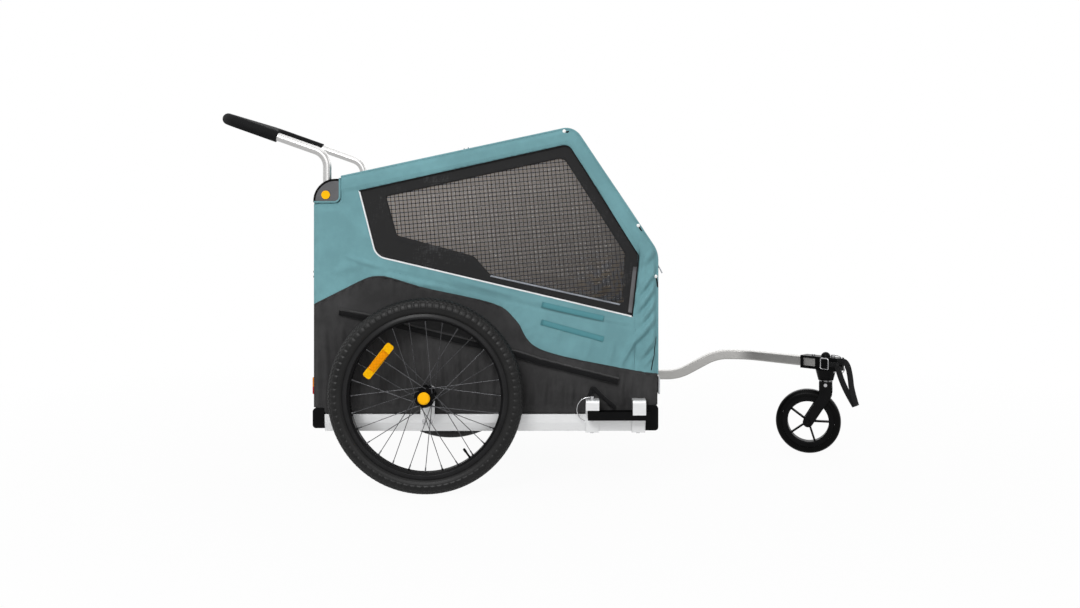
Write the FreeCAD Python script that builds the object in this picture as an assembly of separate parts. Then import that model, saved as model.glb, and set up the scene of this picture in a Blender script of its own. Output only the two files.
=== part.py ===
"""A two-wheeled dog trailer with a push handle and a swivelling front wheel, in millimetres.

The pieces are drawn from the wheel axle: X runs forward from it, Y to the left and Z up from
the ground. Right-hand pieces are drawn first and mirrored. At the end every piece is moved so
that the origin lies on the ground under the middle of the trailer.
"""
import FreeCAD, Part
import math
import os

V = FreeCAD.Vector
UP = V(0, 0, 1)
LEFT = V(0, 1, 0)
CENTRE = V(0, 0, 0)

# Clearances
gap = 0.3
running_fit = 0.05
overrun = 5.0

# Main wheels: 20-inch, 47-406
tyre_diameter = 500.0
tyre_width = 47.0
tyre_wall = 5.0
shoulder_share = 0.797
wheel_standoff = 55.0
bead_thickness = 4.0
bead_depth = 9.0
rim_width = 26.0
rim_wall = 2.5
tyre_height = 38.0
rim_edge_height = 12.0
rim_box_height = 7.0
spoke_count = 28
spoke_radius = 1.0
spoke_lead = 62.0
spoke_seat = 0.9
hub_inner_reach = 33.0
hub_outer_reach = 29.0
hub_shell_radius = 15.0
hub_end_radius = 18.0
hub_end_length = 9.0
flange_radius = 26.0
flange_thickness = 3.0
flange_offset = 22.0
spoke_hole_inset = 4.0
bearing_radius = 13.0
bearing_width = 8.0
bearing_depth = 1.0
axle_radius = 6.0
axle_bore = 3.0
axle_overhang = 2.0
wheel_button_radius = 15.5
wheel_button_height = 9.0
wheel_button_dome = 3.0
wheel_button_travel = 4.0
wheel_button_stem = 24.0
reflector_length = 105.0
reflector_height = 22.0
reflector_thickness = 6.0
reflector_setback = 44.0
reflector_angle = 142.0

# Floor frame
body_width = 620.0
rail_rear_x = -268.0
rail_front_x = 566.0
rail_bottom_z = 150.0
rail_height = 44.0
rail_width = 25.0
rail_wall = 2.5
rail_bevel = 4.0
rail_bevel_height = 22.0
groove_radius = 3.8
groove_depth = 6.0
bead_radius = 3.4
rear_cap_length = 31.0
rear_cap_bottom_z = 158.0
rear_cap_top_z = 210.0
front_cap_length = 33.0
front_cap_bottom_z = 152.0
front_cap_top_z = 217.0
cap_round = 9.0
cap_plug_length = 15.0
cap_lap = 1.0
tube_socket_depth = 14.0
cross_tube_radius = 11.0
cross_tube_wall = 2.0
cross_tube_z = 171.0
spigot_length = 24.0
floor_thickness = 6.0

# Axle plates on the rails
axle_plate_thickness = 6.0
axle_plate_length = 36.0
axle_boss_radius = 19.0
axle_boss_length = 13.0
axle_plate_bolt_spacing = 18.0

# Cabin, side view
cabin_rear_x = -296.0
cabin_front_x = 597.0
roof_rear_x = -227.0
roof_rear_z = 811.0
apex_x = 379.0
apex_z = 941.0
apex_round = 42.0
elbow_z = 615.0
elbow_round = 70.0
door_drop = 48.0
notch_z = 745.0
notch_round = 10.0
cloth = 3.0
cage_tube_radius = 10.0
cage_tube_wall = 2.0
apex_bar_setback = 75.0
elbow_bar_rise = 46.0
crossbar_radius = 9.0
crossbar_wall = 1.6

# Sewn lines of the side walls, as shares of the cabin's length and of its height above the rail
seam_shares = [
    (0.0, 0.380), (0.073, 0.424), (0.150, 0.469), (0.188, 0.478), (0.227, 0.471), (0.329, 0.435),
    (0.522, 0.382), (0.586, 0.325), (0.654, 0.225), (0.878, 0.161), (1.0, 0.138),
]
window_shares = [(0.131, 0.778), (0.742, 0.940), (0.947, 0.550), (0.928, 0.339), (0.180, 0.549)]
window_rounds = [6.0, 24.0, 12.0, 8.0, 38.0]
mesh_shares = [
    (0.209, 0.758), (0.727, 0.893), (0.906, 0.558), (0.897, 0.384), (0.512, 0.486),
    (0.465, 0.550), (0.241, 0.622),
]
ridge_shares = [(0.075, 0.355), (0.151, 0.337), (0.599, 0.205), (0.657, 0.183), (0.884, 0.114)]
strip_shares = [((0.663, 0.3815), (0.843, 0.333)), ((0.661, 0.320), (0.843, 0.260))]
net_pitch = 27.0
net_cord = 5.0
welt_width = 7.0
welt_height = 1.6
strip_width = 12.0

# Handle hubs and push handle
hub_x = -265.0
hub_sill = 4.0
hub_cover_round = 58.0
hub_cover_rise = 42.0
hub_cover_front_x = -228.0
hub_gap = 1.0
cheek_thickness = 5.5
hub_web = 12.0
hub_cover_thickness = 2.0
hub_rim = 6.0
pivot_radius = 8.0
pivot_bore = 4.0
counterbore_depth = 3.0
handle_button_radius = 11.0
handle_button_height = 5.0
handle_button_travel = 3.0
handle_button_stem = 24.0
handle_radius = 11.0
handle_wall = 2.0
handle_bend_rise = 106.0
handle_bend_round = 45.0
handle_rear_x = -535.0
handle_rear_rise = 96.0
handle_corner_round = 48.0
eye_radius = 15.0
grip_radius = 15.0
grip_start_x = -395.0

# Reflectors on the cloth
corner_reflector_height = 44.0
corner_reflector_width = 40.0
corner_reflector_z = 243.0
corner_reflector_depth = 8.0
corner_reflector_round = 3.0
reflector_post = 4.0
reflector_edge_inset = 12.0
post_shares = (0.25, 0.75)

# Tow brackets on the rails
clamp_length = 34.0
rear_clamp_x = 410.0
front_clamp_x = 530.0
clamp_wall = 3.0
hood_top_z = 236.0
rear_hood_skirt_z = 210.0
front_hood_skirt_z = 198.0
hood_round = 7.0
receiver_bottom_z = 184.0
receiver_floor_z = 191.0
receiver_length = 160.0
receiver_start_x = 415.0
receiver_wall = 2.5
arm_side = 28.0
arm_wall = 2.5
arm_round = 4.0
arm_slack = 0.6
arm_stop_x = 409.0
lock_pin_radius = 4.0
lock_pin_head_radius = 6.0
lock_pin_head_height = 8.0
lock_pin_x = 426.0
lock_pin_tip_z = 180.0
bail_wire_radius = 1.3
bail_reach = 39.0
bail_end_gap = 3.0
tether_width = 11.0
tether_thickness = 2.0
tether_peak_z = 262.0
tether_peak_x = 429.0
tether_foot_x = 485.0
tether_heel_x = 419.0
bolt_radius = 3.0
bolt_head_radius = 5.0
bolt_head_height = 4.0
bolt_length = 12.0

# Tow arm and hitch head
arm_rise_x = 721.0
arm_rise_run = 118.0
arm_rise_z = 269.0
arm_rise_round = 140.0
arm_turn_round = 115.0
arm_turn_angle = 45.0
swivel_x = 1138.0
swivel_offset = 205.1
arm_end_gap = 16.0
head_rear = 76.0
head_front = 50.0
head_wall = 5.0
band_width = 8.0
band_setback = 17.0
head_half_width = 19.0
head_slack = 0.8
swivel_housing_z = 219.0
swivel_housing_radius = 30.0
swivel_housing_foot = 22.0
dome_radius = 14.0
stem_radius = 8.0
socket_radius = 9.0
socket_depth = 18.0
socket_back_radius = 6.0
socket_back_depth = 12.0
hitch_pin_radius = 4.0
hitch_pin_setback = 25.0
hitch_pin_drop = 8.0
hitch_bail_reach = 40.0
buckle_width = 26.0
buckle_height = 32.0
buckle_wire_radius = 1.8
buckle_round = 5.0
buckle_x = 8.0
head_bolt_setback = 42.0
strap_width = 14.0
strap_thickness = 2.0
strap_drop = 121.0
strap_reach = 77.0
strap_spread = 9.0
strap_crest = 12.0
strap_turn_angle = 60.0

# Swivel wheel
caster_radius = 95.0
caster_width = 42.0
caster_tread_round = 15.0
caster_rim_radius = 76.0
caster_rim_inner = 60.0
caster_rim_width = 36.0
caster_rim_wall = 4.0
caster_trail = 51.0
caster_yaw = -15.0
caster_hub_radius = 14.0
caster_spoke_count = 5
caster_spoke_width = 5.0
caster_spoke_depth = 14.0
caster_axle_radius = 4.0
fork_gap = 25.0
fork_blade = 4.0
fork_foot_radius = 15.0
fork_neck_half = 19.0
fork_shoulder_z = 176.0
fork_top_gap = 3.0
neck_bolt_drop = 9.0
caster_bolt_head = 4.0
caster_bolt_head_radius = 6.5

# Places that follow from the sizes
wheel_y = -body_width / 2 - wheel_standoff
axle_z = tyre_diameter / 2
rim_top_radius = axle_z - tyre_height
rim_floor_radius = rim_top_radius - rim_edge_height
rim_inner_radius = rim_floor_radius - rim_box_height
reflector_orbit = rim_inner_radius - reflector_setback
rail_top_z = rail_bottom_z + rail_height
rail_outer_y = -body_width / 2
rail_inner_y = rail_outer_y + rail_width
cloth_outer_y = rail_outer_y + groove_depth
cloth_inner_y = cloth_outer_y + cloth
cloth_y = (cloth_outer_y + cloth_inner_y) / 2
sheet_half = -cloth_inner_y - gap
cage_y = cloth_inner_y + gap + cage_tube_radius
cage_inset = cloth + gap + cage_tube_radius
bracket_y = rail_outer_y - clamp_wall - receiver_wall - arm_slack - arm_side / 2
arm_z = receiver_floor_z + arm_slack + arm_side / 2
swivel_y = -bracket_y - swivel_offset
spoke_hub_face = flange_thickness / 2 + spoke_radius + spoke_seat
spoke_hub_radius = flange_radius - spoke_hole_inset
spoke_rim_offset = (rim_width / 2 - rim_wall) / 2
hub_z = notch_z + eye_radius + hub_sill
hub_cover_top_z = hub_z + hub_cover_rise
handle_bend_z = hub_z + handle_bend_rise
handle_rear_z = handle_bend_z + handle_rear_rise
cabin_length = cabin_front_x - cabin_rear_x
cabin_height = apex_z - rail_top_z


def mirrored(shape):
    """The left-hand twin of a right-hand piece."""
    return shape.mirror(CENTRE, LEFT)


def both(shape):
    """A piece and its twin on the other side."""
    return [shape, mirrored(shape)]


def block(x0, x1, y0, y1, z0, z1):
    """A box between two corners."""
    return Part.makeBox(x1 - x0, y1 - y0, z1 - z0, V(x0, y0, z0))


def rod(radius, start, end):
    """A round bar from one point to another."""
    return Part.makeCylinder(radius, (end - start).Length, start, end - start)


def ring(outer, inner, start, end):
    """A round tube from one point to another."""
    along = (end - start).normalize() * overrun
    return rod(outer, start, end).cut(rod(inner, start - along, end + along))


def route(points, rounds, closed=False):
    """Straight runs joined by tangent arcs, with a radius for each point."""
    count = len(points)
    entry = list(points)
    leave = list(points)
    middle = [None] * count
    for i in range(0 if closed else 1, count if closed else count - 1):
        if rounds[i] == 0:
            continue
        before = (points[i - 1] - points[i]).normalize()
        after = (points[(i + 1) % count] - points[i]).normalize()
        half = before.getAngle(after) / 2
        entry[i] = points[i] + before * (rounds[i] / math.tan(half))
        leave[i] = points[i] + after * (rounds[i] / math.tan(half))
        inward = (before + after).normalize()
        middle[i] = points[i] + inward * (rounds[i] / math.sin(half) - rounds[i])
    edges = []
    for i in range(count if closed else count - 1):
        j = (i + 1) % count
        edges.append(Part.LineSegment(leave[i], entry[j]).toShape())
        if middle[j] is not None:
            edges.append(Part.Arc(entry[j], middle[j], leave[j]).toShape())
    return Part.Wire(edges)


def side_points(points, y):
    """Points of the side view set on a plane across the trailer."""
    return [V(x, y, z) for x, z in points]


def slab(points, rounds, y0, y1):
    """A flat plate with a side-view outline."""
    outline = route(side_points(points, y0), rounds, True)
    return Part.Face(outline).extrude(V(0, y1 - y0, 0))


def bar(points, rounds, radius):
    """A bent round bar."""
    circle = Part.Wire(Part.makeCircle(radius, points[0], points[1] - points[0]))
    return route(points, rounds).makePipeShell([circle], True, False)


def bent_tube(points, rounds, radius, wall):
    """A bent round tube, open at both ends."""
    return bar(points, rounds, radius).cut(bar(points, rounds, radius - wall))


def turned(profile, axis_point, axis):
    """A solid turned about an axis, from a closed list of points."""
    outline = Part.makePolygon(profile + [profile[0]])
    whole_turn = 360.0
    return Part.Face(outline).revolve(axis_point, axis, whole_turn)


def joined(shapes):
    """Several shapes fused into one clean solid."""
    return shapes[0].multiFuse(shapes[1:]).removeSplitter()


def inset(points, distance):
    """An open side-view line moved inward, with its corners mitred."""
    normals = []
    for (x0, z0), (x1, z1) in zip(points, points[1:]):
        normals.append(V(z1 - z0, 0, x0 - x1).normalize())
    moved = []
    for i, (x, z) in enumerate(points):
        first = normals[max(i - 1, 0)]
        last = normals[min(i, len(normals) - 1)]
        mitre = (first + last).normalize()
        shift = mitre * (distance / mitre.dot(first))
        moved.append((x + shift.x, z + shift.z))
    return moved


def along(start, end, distance):
    """The point of a side-view line at a distance from its start."""
    length = math.hypot(end[0] - start[0], end[1] - start[1])
    share = distance / length
    return (start[0] + (end[0] - start[0]) * share, start[1] + (end[1] - start[1]) * share)


def sheet(points, rounds):
    """A cloth sheet across the cabin that follows a side-view line."""
    inner_points = inset(points, cloth)
    inner_rounds = [max(r - cloth, 0) for r in rounds]
    outer = route(side_points(points, -sheet_half), rounds)
    inner = route(side_points(inner_points, -sheet_half), inner_rounds)
    ends = []
    for i in (0, -1):
        a = V(points[i][0], -sheet_half, points[i][1])
        b = V(inner_points[i][0], -sheet_half, inner_points[i][1])
        ends.append(Part.LineSegment(a, b).toShape())
    edges = Part.__sortEdges__(outer.Edges + inner.Edges + ends)
    return Part.Face(Part.Wire(edges)).extrude(V(0, sheet_half * 2, 0))


def on_side(share_points):
    """Points given as shares of the side wall, in millimetres."""
    return [(cabin_rear_x + u * cabin_length, rail_top_z + v * cabin_height) for u, v in share_points]


def band(points, width):
    """A sewn band that stands out from the near wall along a side-view line."""
    half = width / 2
    outer = inset(points, -half)
    inner = inset(points, half)
    outline = outer + inner[::-1]
    return slab(outline, [0] * len(outline), cloth_outer_y - welt_height, cloth_outer_y)


# Main wheels

def wheel_ring(profile):
    """A ring turned about the right wheel's axle, from points of radius and offset from its plane."""
    points = [V(0, wheel_y + offset, axle_z + radius) for radius, offset in profile]
    return turned(points, V(0, wheel_y, axle_z), LEFT)


def make_tyre():
    """An open casing whose two beads sit inside the rim's edges."""
    half = tyre_width / 2
    crown = tyre_diameter / 2 - half
    hook = rim_top_radius + gap
    bead_outer = rim_width / 2 - rim_wall - gap
    bead_inner = bead_outer - bead_thickness
    bead_foot = hook - bead_depth
    outer_width = half * shoulder_share
    inner_half = half - tyre_wall
    throat = hook + tyre_wall

    def at(radius, offset):
        return V(0, wheel_y + offset, axle_z + radius)

    edges = [
        Part.Arc(at(hook, -outer_width), at(crown + half, 0), at(hook, outer_width)).toShape(),
        Part.LineSegment(at(hook, outer_width), at(hook, bead_outer)).toShape(),
        Part.LineSegment(at(hook, bead_outer), at(bead_foot, bead_outer)).toShape(),
        Part.LineSegment(at(bead_foot, bead_outer), at(bead_foot, bead_inner)).toShape(),
        Part.LineSegment(at(bead_foot, bead_inner), at(throat, bead_inner)).toShape(),
        Part.Arc(at(throat, bead_inner), at(crown + inner_half, 0), at(throat, -bead_inner)).toShape(),
        Part.LineSegment(at(throat, -bead_inner), at(bead_foot, -bead_inner)).toShape(),
        Part.LineSegment(at(bead_foot, -bead_inner), at(bead_foot, -bead_outer)).toShape(),
        Part.LineSegment(at(bead_foot, -bead_outer), at(hook, -bead_outer)).toShape(),
        Part.LineSegment(at(hook, -bead_outer), at(hook, -outer_width)).toShape(),
    ]
    whole_turn = 360.0
    return Part.Face(Part.Wire(edges)).revolve(V(0, wheel_y, axle_z), LEFT, whole_turn)


def make_rim():
    """A box-section rim with two upright edges."""
    half = rim_width / 2
    lip = half - rim_wall
    return wheel_ring([
        (rim_top_radius, -half), (rim_floor_radius, -half), (rim_inner_radius, -lip),
        (rim_inner_radius, lip), (rim_floor_radius, half), (rim_top_radius, half),
        (rim_top_radius, lip), (rim_floor_radius, lip), (rim_floor_radius, -lip), (rim_top_radius, -lip),
    ])


def make_hub():
    """A flanged hub shell with a bearing in each end."""
    inner_end = hub_inner_reach
    outer_end = -hub_outer_reach
    thick = flange_thickness / 2
    profile = [(axle_radius + bearing_depth, inner_end), (hub_end_radius, inner_end)]
    profile += [(hub_end_radius, inner_end - hub_end_length)]
    for side in (1, -1):
        first = side * flange_offset + thick
        last = side * flange_offset - thick
        profile += [(hub_shell_radius, first), (flange_radius, first)]
        profile += [(flange_radius, last), (hub_shell_radius, last)]
    profile += [(hub_end_radius, outer_end + hub_end_length), (hub_end_radius, outer_end)]
    profile += [(axle_radius + bearing_depth, outer_end)]
    shell = wheel_ring(profile)
    bearings = []
    for face, inward in ((inner_end, -1), (outer_end, 1)):
        outer_face = V(0, wheel_y + face, axle_z)
        seat_face = V(0, wheel_y + face + inward * bearing_width, axle_z)
        shell = shell.cut(rod(bearing_radius, outer_face - LEFT * inward * overrun, seat_face))
        bearings.append(ring(bearing_radius, axle_radius + running_fit, outer_face, seat_face))
    return [shell] + bearings


def make_spokes():
    """Crossed wire spokes from both flanges to the rim."""
    spokes = []
    hub_r = spoke_hub_radius
    rim_r = rim_inner_radius - gap
    for i in range(spoke_count):
        side = 1 if i % 2 == 0 else -1
        trailing = 1 if i % 4 < 2 else -1
        rim_angle = math.radians(360.0 * i / spoke_count)
        hub_angle = rim_angle + trailing * math.radians(spoke_lead)
        start_offset = side * flange_offset + trailing * spoke_hub_face
        start = V(hub_r * math.cos(hub_angle), start_offset + wheel_y, axle_z + hub_r * math.sin(hub_angle))
        end_offset = side * spoke_rim_offset
        end = V(rim_r * math.cos(rim_angle), end_offset + wheel_y, axle_z + rim_r * math.sin(rim_angle))
        spokes.append(rod(spoke_radius, start, end))
    return spokes


def make_spoke_reflector():
    """An amber bar that is clipped on the outside of the spokes."""
    half_length = reflector_length / 2
    half_height = reflector_height / 2
    run = rim_inner_radius - spoke_hub_radius
    share = (rim_inner_radius - reflector_orbit + half_height) / run
    spoke_offset = spoke_rim_offset + (flange_offset + spoke_hub_face - spoke_rim_offset) * share
    inner_y = wheel_y - spoke_offset - spoke_radius
    points = [
        (-half_length, reflector_orbit - half_height), (half_length, reflector_orbit - half_height),
        (half_length, reflector_orbit + half_height), (-half_length, reflector_orbit + half_height),
    ]
    body = slab(points, [reflector_thickness] * len(points), inner_y - reflector_thickness, inner_y)
    quarter_turn = 90.0
    body.rotate(CENTRE, LEFT, quarter_turn - reflector_angle)
    body.translate(V(0, 0, axle_z))
    return body


def make_axle():
    """A hollow stub axle that the wheel turns on."""
    start = V(0, rail_outer_y - gap, axle_z)
    end = V(0, wheel_y - hub_outer_reach - axle_overhang, axle_z)
    return ring(axle_radius, axle_bore, start, end)


def make_wheel_button():
    """The domed release button at the end of the axle, on a stem inside it."""
    inner = wheel_y - hub_outer_reach - axle_overhang - wheel_button_travel - gap
    outer = inner - wheel_button_height
    stem = axle_bore - running_fit
    edge = wheel_button_radius - wheel_button_dome
    profile = [
        (0, inner + wheel_button_stem), (stem, inner + wheel_button_stem), (stem, inner),
        (wheel_button_radius, inner), (wheel_button_radius, outer + wheel_button_dome),
        (edge, outer), (0, outer),
    ]
    points = [V(0, y, axle_z + radius) for radius, y in profile]
    return turned(points, V(0, 0, axle_z), LEFT)


# Floor frame

def rail_section(x):
    """The rail's outside outline: a tall box with a bevelled lower face."""
    return [
        V(x, rail_outer_y, rail_bottom_z + rail_bevel_height), V(x, rail_outer_y, rail_top_z),
        V(x, rail_inner_y, rail_top_z), V(x, rail_inner_y, rail_bottom_z),
        V(x, rail_outer_y + rail_bevel, rail_bottom_z),
    ]


def rail_chamber(x0, x1, slack):
    """The hollow of the rail below its groove, or what fits in it."""
    top = rail_top_z - groove_depth - groove_radius - rail_wall
    return block(
        x0, x1, rail_outer_y + rail_bevel + rail_wall + slack, rail_inner_y - rail_wall - slack,
        rail_bottom_z + rail_wall + slack, top - slack)


def make_rail():
    """An extruded rail with a hollow chamber and a groove for the cloth's edge."""
    length = rail_front_x - rail_rear_x
    points = rail_section(rail_rear_x)
    body = Part.Face(Part.makePolygon(points + [points[0]])).extrude(V(length, 0, 0))
    body = body.cut(rail_chamber(rail_rear_x - overrun, rail_front_x + overrun, 0))
    groove_z = rail_top_z - groove_depth
    start = V(rail_rear_x - overrun, cloth_y, groove_z)
    body = body.cut(rod(groove_radius, start, start + V(length + overrun * 2, 0, 0)))
    slot = cloth / 2 + gap
    body = body.cut(block(
        rail_rear_x - overrun, rail_front_x + overrun, cloth_y - slot, cloth_y + slot,
        groove_z, rail_top_z + overrun))
    for x in axle_bolt_places():
        hole = V(x, rail_outer_y, axle_bolt_z())
        body = body.cut(rod(bolt_radius + gap, hole - LEFT * overrun, hole + LEFT * (bolt_length + gap)))
    for x in clamp_bolt_places():
        hole = V(x, clamp_bolt_y(), rail_bottom_z)
        body = body.cut(rod(bolt_radius + gap, hole - UP * overrun, hole + UP * (bolt_length + gap)))
    return body


def axle_bolt_places():
    half = axle_plate_bolt_spacing / 2
    return (-half, half)


def axle_bolt_z():
    return rail_bottom_z + rail_bevel_height + bolt_head_radius


def clamp_bolt_places():
    return (rear_clamp_x + clamp_length / 2, front_clamp_x + clamp_length / 2)


def clamp_bolt_y():
    return (rail_outer_y + rail_bevel + rail_inner_y) / 2


def make_cap(end_x, outward, length, bottom_z, top_z, tube_x):
    """A moulded corner: a rounded nose, a plug in the rail, a tube socket and a cross-tube spigot."""
    tip_x = end_x + outward * length
    low_y = rail_outer_y - cap_lap
    high_y = rail_inner_y + cap_lap
    points = [(end_x, bottom_z), (tip_x, bottom_z), (tip_x, top_z), (end_x, top_z)]
    nose = slab(points, [0, cap_round, cap_round, 0], low_y, high_y)
    inner_x = end_x - outward * cap_plug_length
    plug = rail_chamber(min(end_x, inner_x), max(end_x, inner_x), gap)
    spigot_start = V(tube_x, high_y, cross_tube_z)
    spigot = rod(cross_tube_radius - cross_tube_wall - gap, spigot_start, spigot_start + LEFT * spigot_length)
    socket = rod(
        cage_tube_radius + gap, V(tube_x, cage_y, top_z - tube_socket_depth), V(tube_x, cage_y, top_z + overrun))
    return joined([nose, plug, spigot]).cut(socket)


def rear_tube_x():
    return cabin_rear_x + cage_inset


def front_tube_x():
    return cabin_front_x - cage_inset


def make_rear_cap():
    return make_cap(rail_rear_x, -1, rear_cap_length, rear_cap_bottom_z, rear_cap_top_z, rear_tube_x())


def make_front_cap():
    return make_cap(rail_front_x, 1, front_cap_length, front_cap_bottom_z, front_cap_top_z, front_tube_x())


def make_cross_tubes():
    """Three tubes that tie the two rails together under the floor."""
    tubes = []
    inner = cross_tube_radius - cross_tube_wall
    capped = rail_inner_y + cap_lap
    for x, reach in ((rear_tube_x(), capped), (0, rail_inner_y), (front_tube_x(), capped)):
        tubes.append(ring(cross_tube_radius, inner, V(x, reach, cross_tube_z), V(x, -reach, cross_tube_z)))
    return tubes


def make_floor():
    """The stiff floor that lies on the cross tubes between the rails."""
    bottom = cross_tube_z + cross_tube_radius
    half = -rail_inner_y - cap_lap - gap
    return block(
        cabin_rear_x + cloth + gap, cabin_front_x - cloth - gap, -half, half, bottom, bottom + floor_thickness)


def make_axle_plate():
    """A plate bolted to the rail, which rises to the socket of the stub axle."""
    half = axle_plate_length / 2
    low = rail_bottom_z + rail_bevel_height
    points = [
        (-half, low), (half, low),
        (axle_boss_radius, axle_z + axle_boss_radius), (-axle_boss_radius, axle_z + axle_boss_radius),
    ]
    top_round = axle_boss_radius / 2
    rounds = [bolt_head_radius, bolt_head_radius, top_round, top_round]
    plate = slab(points, rounds, rail_outer_y - axle_plate_thickness, rail_outer_y)
    start = V(0, rail_outer_y - axle_plate_thickness, axle_z)
    body = joined([plate, rod(axle_boss_radius, start, start - LEFT * axle_boss_length)])
    bore_start = V(0, rail_outer_y + overrun, axle_z)
    body = body.cut(rod(axle_radius + running_fit, bore_start, start - LEFT * (axle_boss_length + overrun)))
    for x in axle_bolt_places():
        hole = V(x, rail_outer_y, axle_bolt_z())
        body = body.cut(rod(bolt_radius + gap, hole + LEFT * overrun, hole - LEFT * (axle_plate_thickness + overrun)))
    return body


def make_bolt(seat, into):
    """A round-headed bolt whose head rests on a seat."""
    head = rod(bolt_head_radius, seat, seat - into * bolt_head_height)
    return joined([head, rod(bolt_radius, seat, seat + into * bolt_length)])


# Cage under the cloth

cabin_line = [
    (roof_rear_x, roof_rear_z), (apex_x, apex_z), (cabin_front_x, elbow_z), (cabin_front_x, front_cap_top_z),
]
cabin_rounds = [0, apex_round, elbow_round, 0]
cage_line = inset(cabin_line, cage_inset)


def make_hoop():
    """A bent tube from the handle hub over the roof and down the front to the corner."""
    line = list(cage_line)
    line[-1] = (line[-1][0], front_cap_top_z - tube_socket_depth + gap)
    rounds = [0, apex_round - cloth, elbow_round - cloth, 0]
    return bent_tube(side_points(line, cage_y), rounds, cage_tube_radius, cage_tube_wall)


def upright_ends():
    """Foot and head of the tube that carries the handle hub."""
    foot = V(rear_tube_x(), cage_y, rear_cap_top_z - tube_socket_depth + gap)
    head = V(rear_tube_x(), cage_y, notch_z - hub_web)
    return foot, head


def make_upright():
    foot, head = upright_ends()
    return ring(cage_tube_radius, cage_tube_radius - cage_tube_wall, foot, head)


def make_crossbars():
    """Three bars that hold the two side frames apart: rear, under the apex and at the front bend."""
    reach = -cage_y - cage_tube_radius - gap
    apex_place = along(cage_line[1], cage_line[0], apex_bar_setback)
    elbow_place = along(cage_line[2], cage_line[1], elbow_bar_rise)
    rear_place = along(cage_line[0], cage_line[1], cage_tube_radius + crossbar_radius)
    bars = []
    for x, z in (rear_place, apex_place, elbow_place):
        bars.append(ring(crossbar_radius, crossbar_radius - crossbar_wall, V(x, -reach, z), V(x, reach, z)))
    return bars


# Cloth walls

def seam_curve(y, drop):
    """The curved seam between the upper and lower cloth of a side wall."""
    curve = Part.BSplineCurve()
    curve.interpolate([V(x, y, z - drop) for x, z in on_side(seam_shares)])
    return curve.toShape()


seam_rear_z = on_side(seam_shares)[0][1]
seam_front_z = on_side(seam_shares)[-1][1]
door_top = along(cabin_line[1], cabin_line[2], door_drop)


def window_outline(y):
    return route(side_points(on_side(window_shares), y), window_rounds, True)


def make_side_panel():
    """The upper side wall, with its window opening and two sewn strips."""
    points = [
        (cabin_rear_x, seam_rear_z), (cabin_rear_x, notch_z), (roof_rear_x, notch_z),
        cabin_line[0], cabin_line[1], cabin_line[2], (cabin_front_x, seam_front_z),
    ]
    rounds = [0, 0, notch_round, 0, apex_round, elbow_round, 0]
    edges = route(side_points(points, cloth_outer_y), rounds).Edges + [seam_curve(cloth_outer_y, 0)]
    faces = Part.makeFace([Part.Wire(Part.__sortEdges__(edges)), window_outline(cloth_outer_y)],
                          "Part::FaceMakerBullseye")
    wall = faces.extrude(V(0, cloth, 0))
    strips = [band(on_side(ends), strip_width) for ends in strip_shares]
    return joined([wall] + strips)


def inside(x, z, polygon):
    """Whether a side-view point lies inside a polygon."""
    hit = False
    for (x0, z0), (x1, z1) in zip(polygon, polygon[1:] + polygon[:1]):
        if (z0 > z) != (z1 > z) and x < x0 + (x1 - x0) * (z - z0) / (z1 - z0):
            hit = not hit
    return hit


def make_window():
    """A dark border and the net inside it, as one holed sheet."""
    outline = window_outline(cloth_outer_y).makeOffset2D(-gap)
    polygon = on_side(mesh_shares)
    low_x = min(x for x, z in polygon)
    high_x = max(x for x, z in polygon)
    low_z = min(z for x, z in polygon)
    high_z = max(z for x, z in polygon)
    hole = net_pitch - net_cord
    wires = [outline]
    for i in range(int((high_x - low_x) / net_pitch)):
        for j in range(int((high_z - low_z) / net_pitch) + 1):
            x = low_x + i * net_pitch
            z = low_z + j * net_pitch
            corners = [(x, z), (x + hole, z), (x + hole, z + hole), (x, z + hole)]
            if all(inside(cx, cz, polygon) for cx, cz in corners):
                wires.append(route(side_points(corners, cloth_outer_y), [0] * len(corners), True))
    print("net gaps", len(wires) - 1)
    return Part.makeFace(wires, "Part::FaceMakerBullseye").extrude(V(0, cloth, 0))


def make_side_skirt():
    """The lower side wall, with a sewn ridge and a bead in the rail's groove."""
    groove_z = rail_top_z - groove_depth
    rear_step = rear_cap_top_z + gap
    front_step = front_cap_top_z + gap
    points = [
        (cabin_rear_x, seam_rear_z - gap), (cabin_rear_x, rear_step), (rail_rear_x + gap, rear_step),
        (rail_rear_x + gap, groove_z), (rail_front_x - gap, groove_z), (rail_front_x - gap, front_step),
        (cabin_front_x, front_step), (cabin_front_x, seam_front_z - gap),
    ]
    edges = route(side_points(points, cloth_outer_y), [0] * len(points)).Edges
    edges.append(seam_curve(cloth_outer_y, gap))
    wall = Part.Face(Part.Wire(Part.__sortEdges__(edges))).extrude(V(0, cloth, 0))
    bead = rod(bead_radius, V(rail_rear_x + gap, cloth_y, groove_z), V(rail_front_x - gap, cloth_y, groove_z))
    return joined([wall, bead, band(on_side(ridge_shares), welt_width)])


def make_roof_panel():
    return sheet([cabin_line[0], cabin_line[1], door_top], [0, apex_round, 0])


def make_front_door():
    """The zipped front cover, which lifts from its seam below the apex."""
    top = along(cabin_line[1], cabin_line[2], door_drop + gap)
    return sheet([top, cabin_line[2], (cabin_front_x, seam_front_z + gap)], [0, elbow_round, 0])


def make_rear_panel():
    """The upper rear wall, and its slope between the handle hubs up to the roof."""
    wall = block(
        cabin_rear_x, cabin_rear_x + cloth, -sheet_half, sheet_half, seam_rear_z + gap, notch_z)
    low = (cabin_rear_x, notch_z)
    rise = math.hypot(roof_rear_x - cabin_rear_x, roof_rear_z - notch_z)
    high = along(low, cabin_line[0], rise - cloth)
    under = inset([low, high], cloth)[1]
    narrow = -inner_cheek_y - cheek_thickness - gap
    outline = [low, high, under, (cabin_rear_x + cloth, notch_z)]
    slope = slab(outline, [0] * len(outline), -narrow, narrow)
    return joined([wall, slope])


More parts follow.
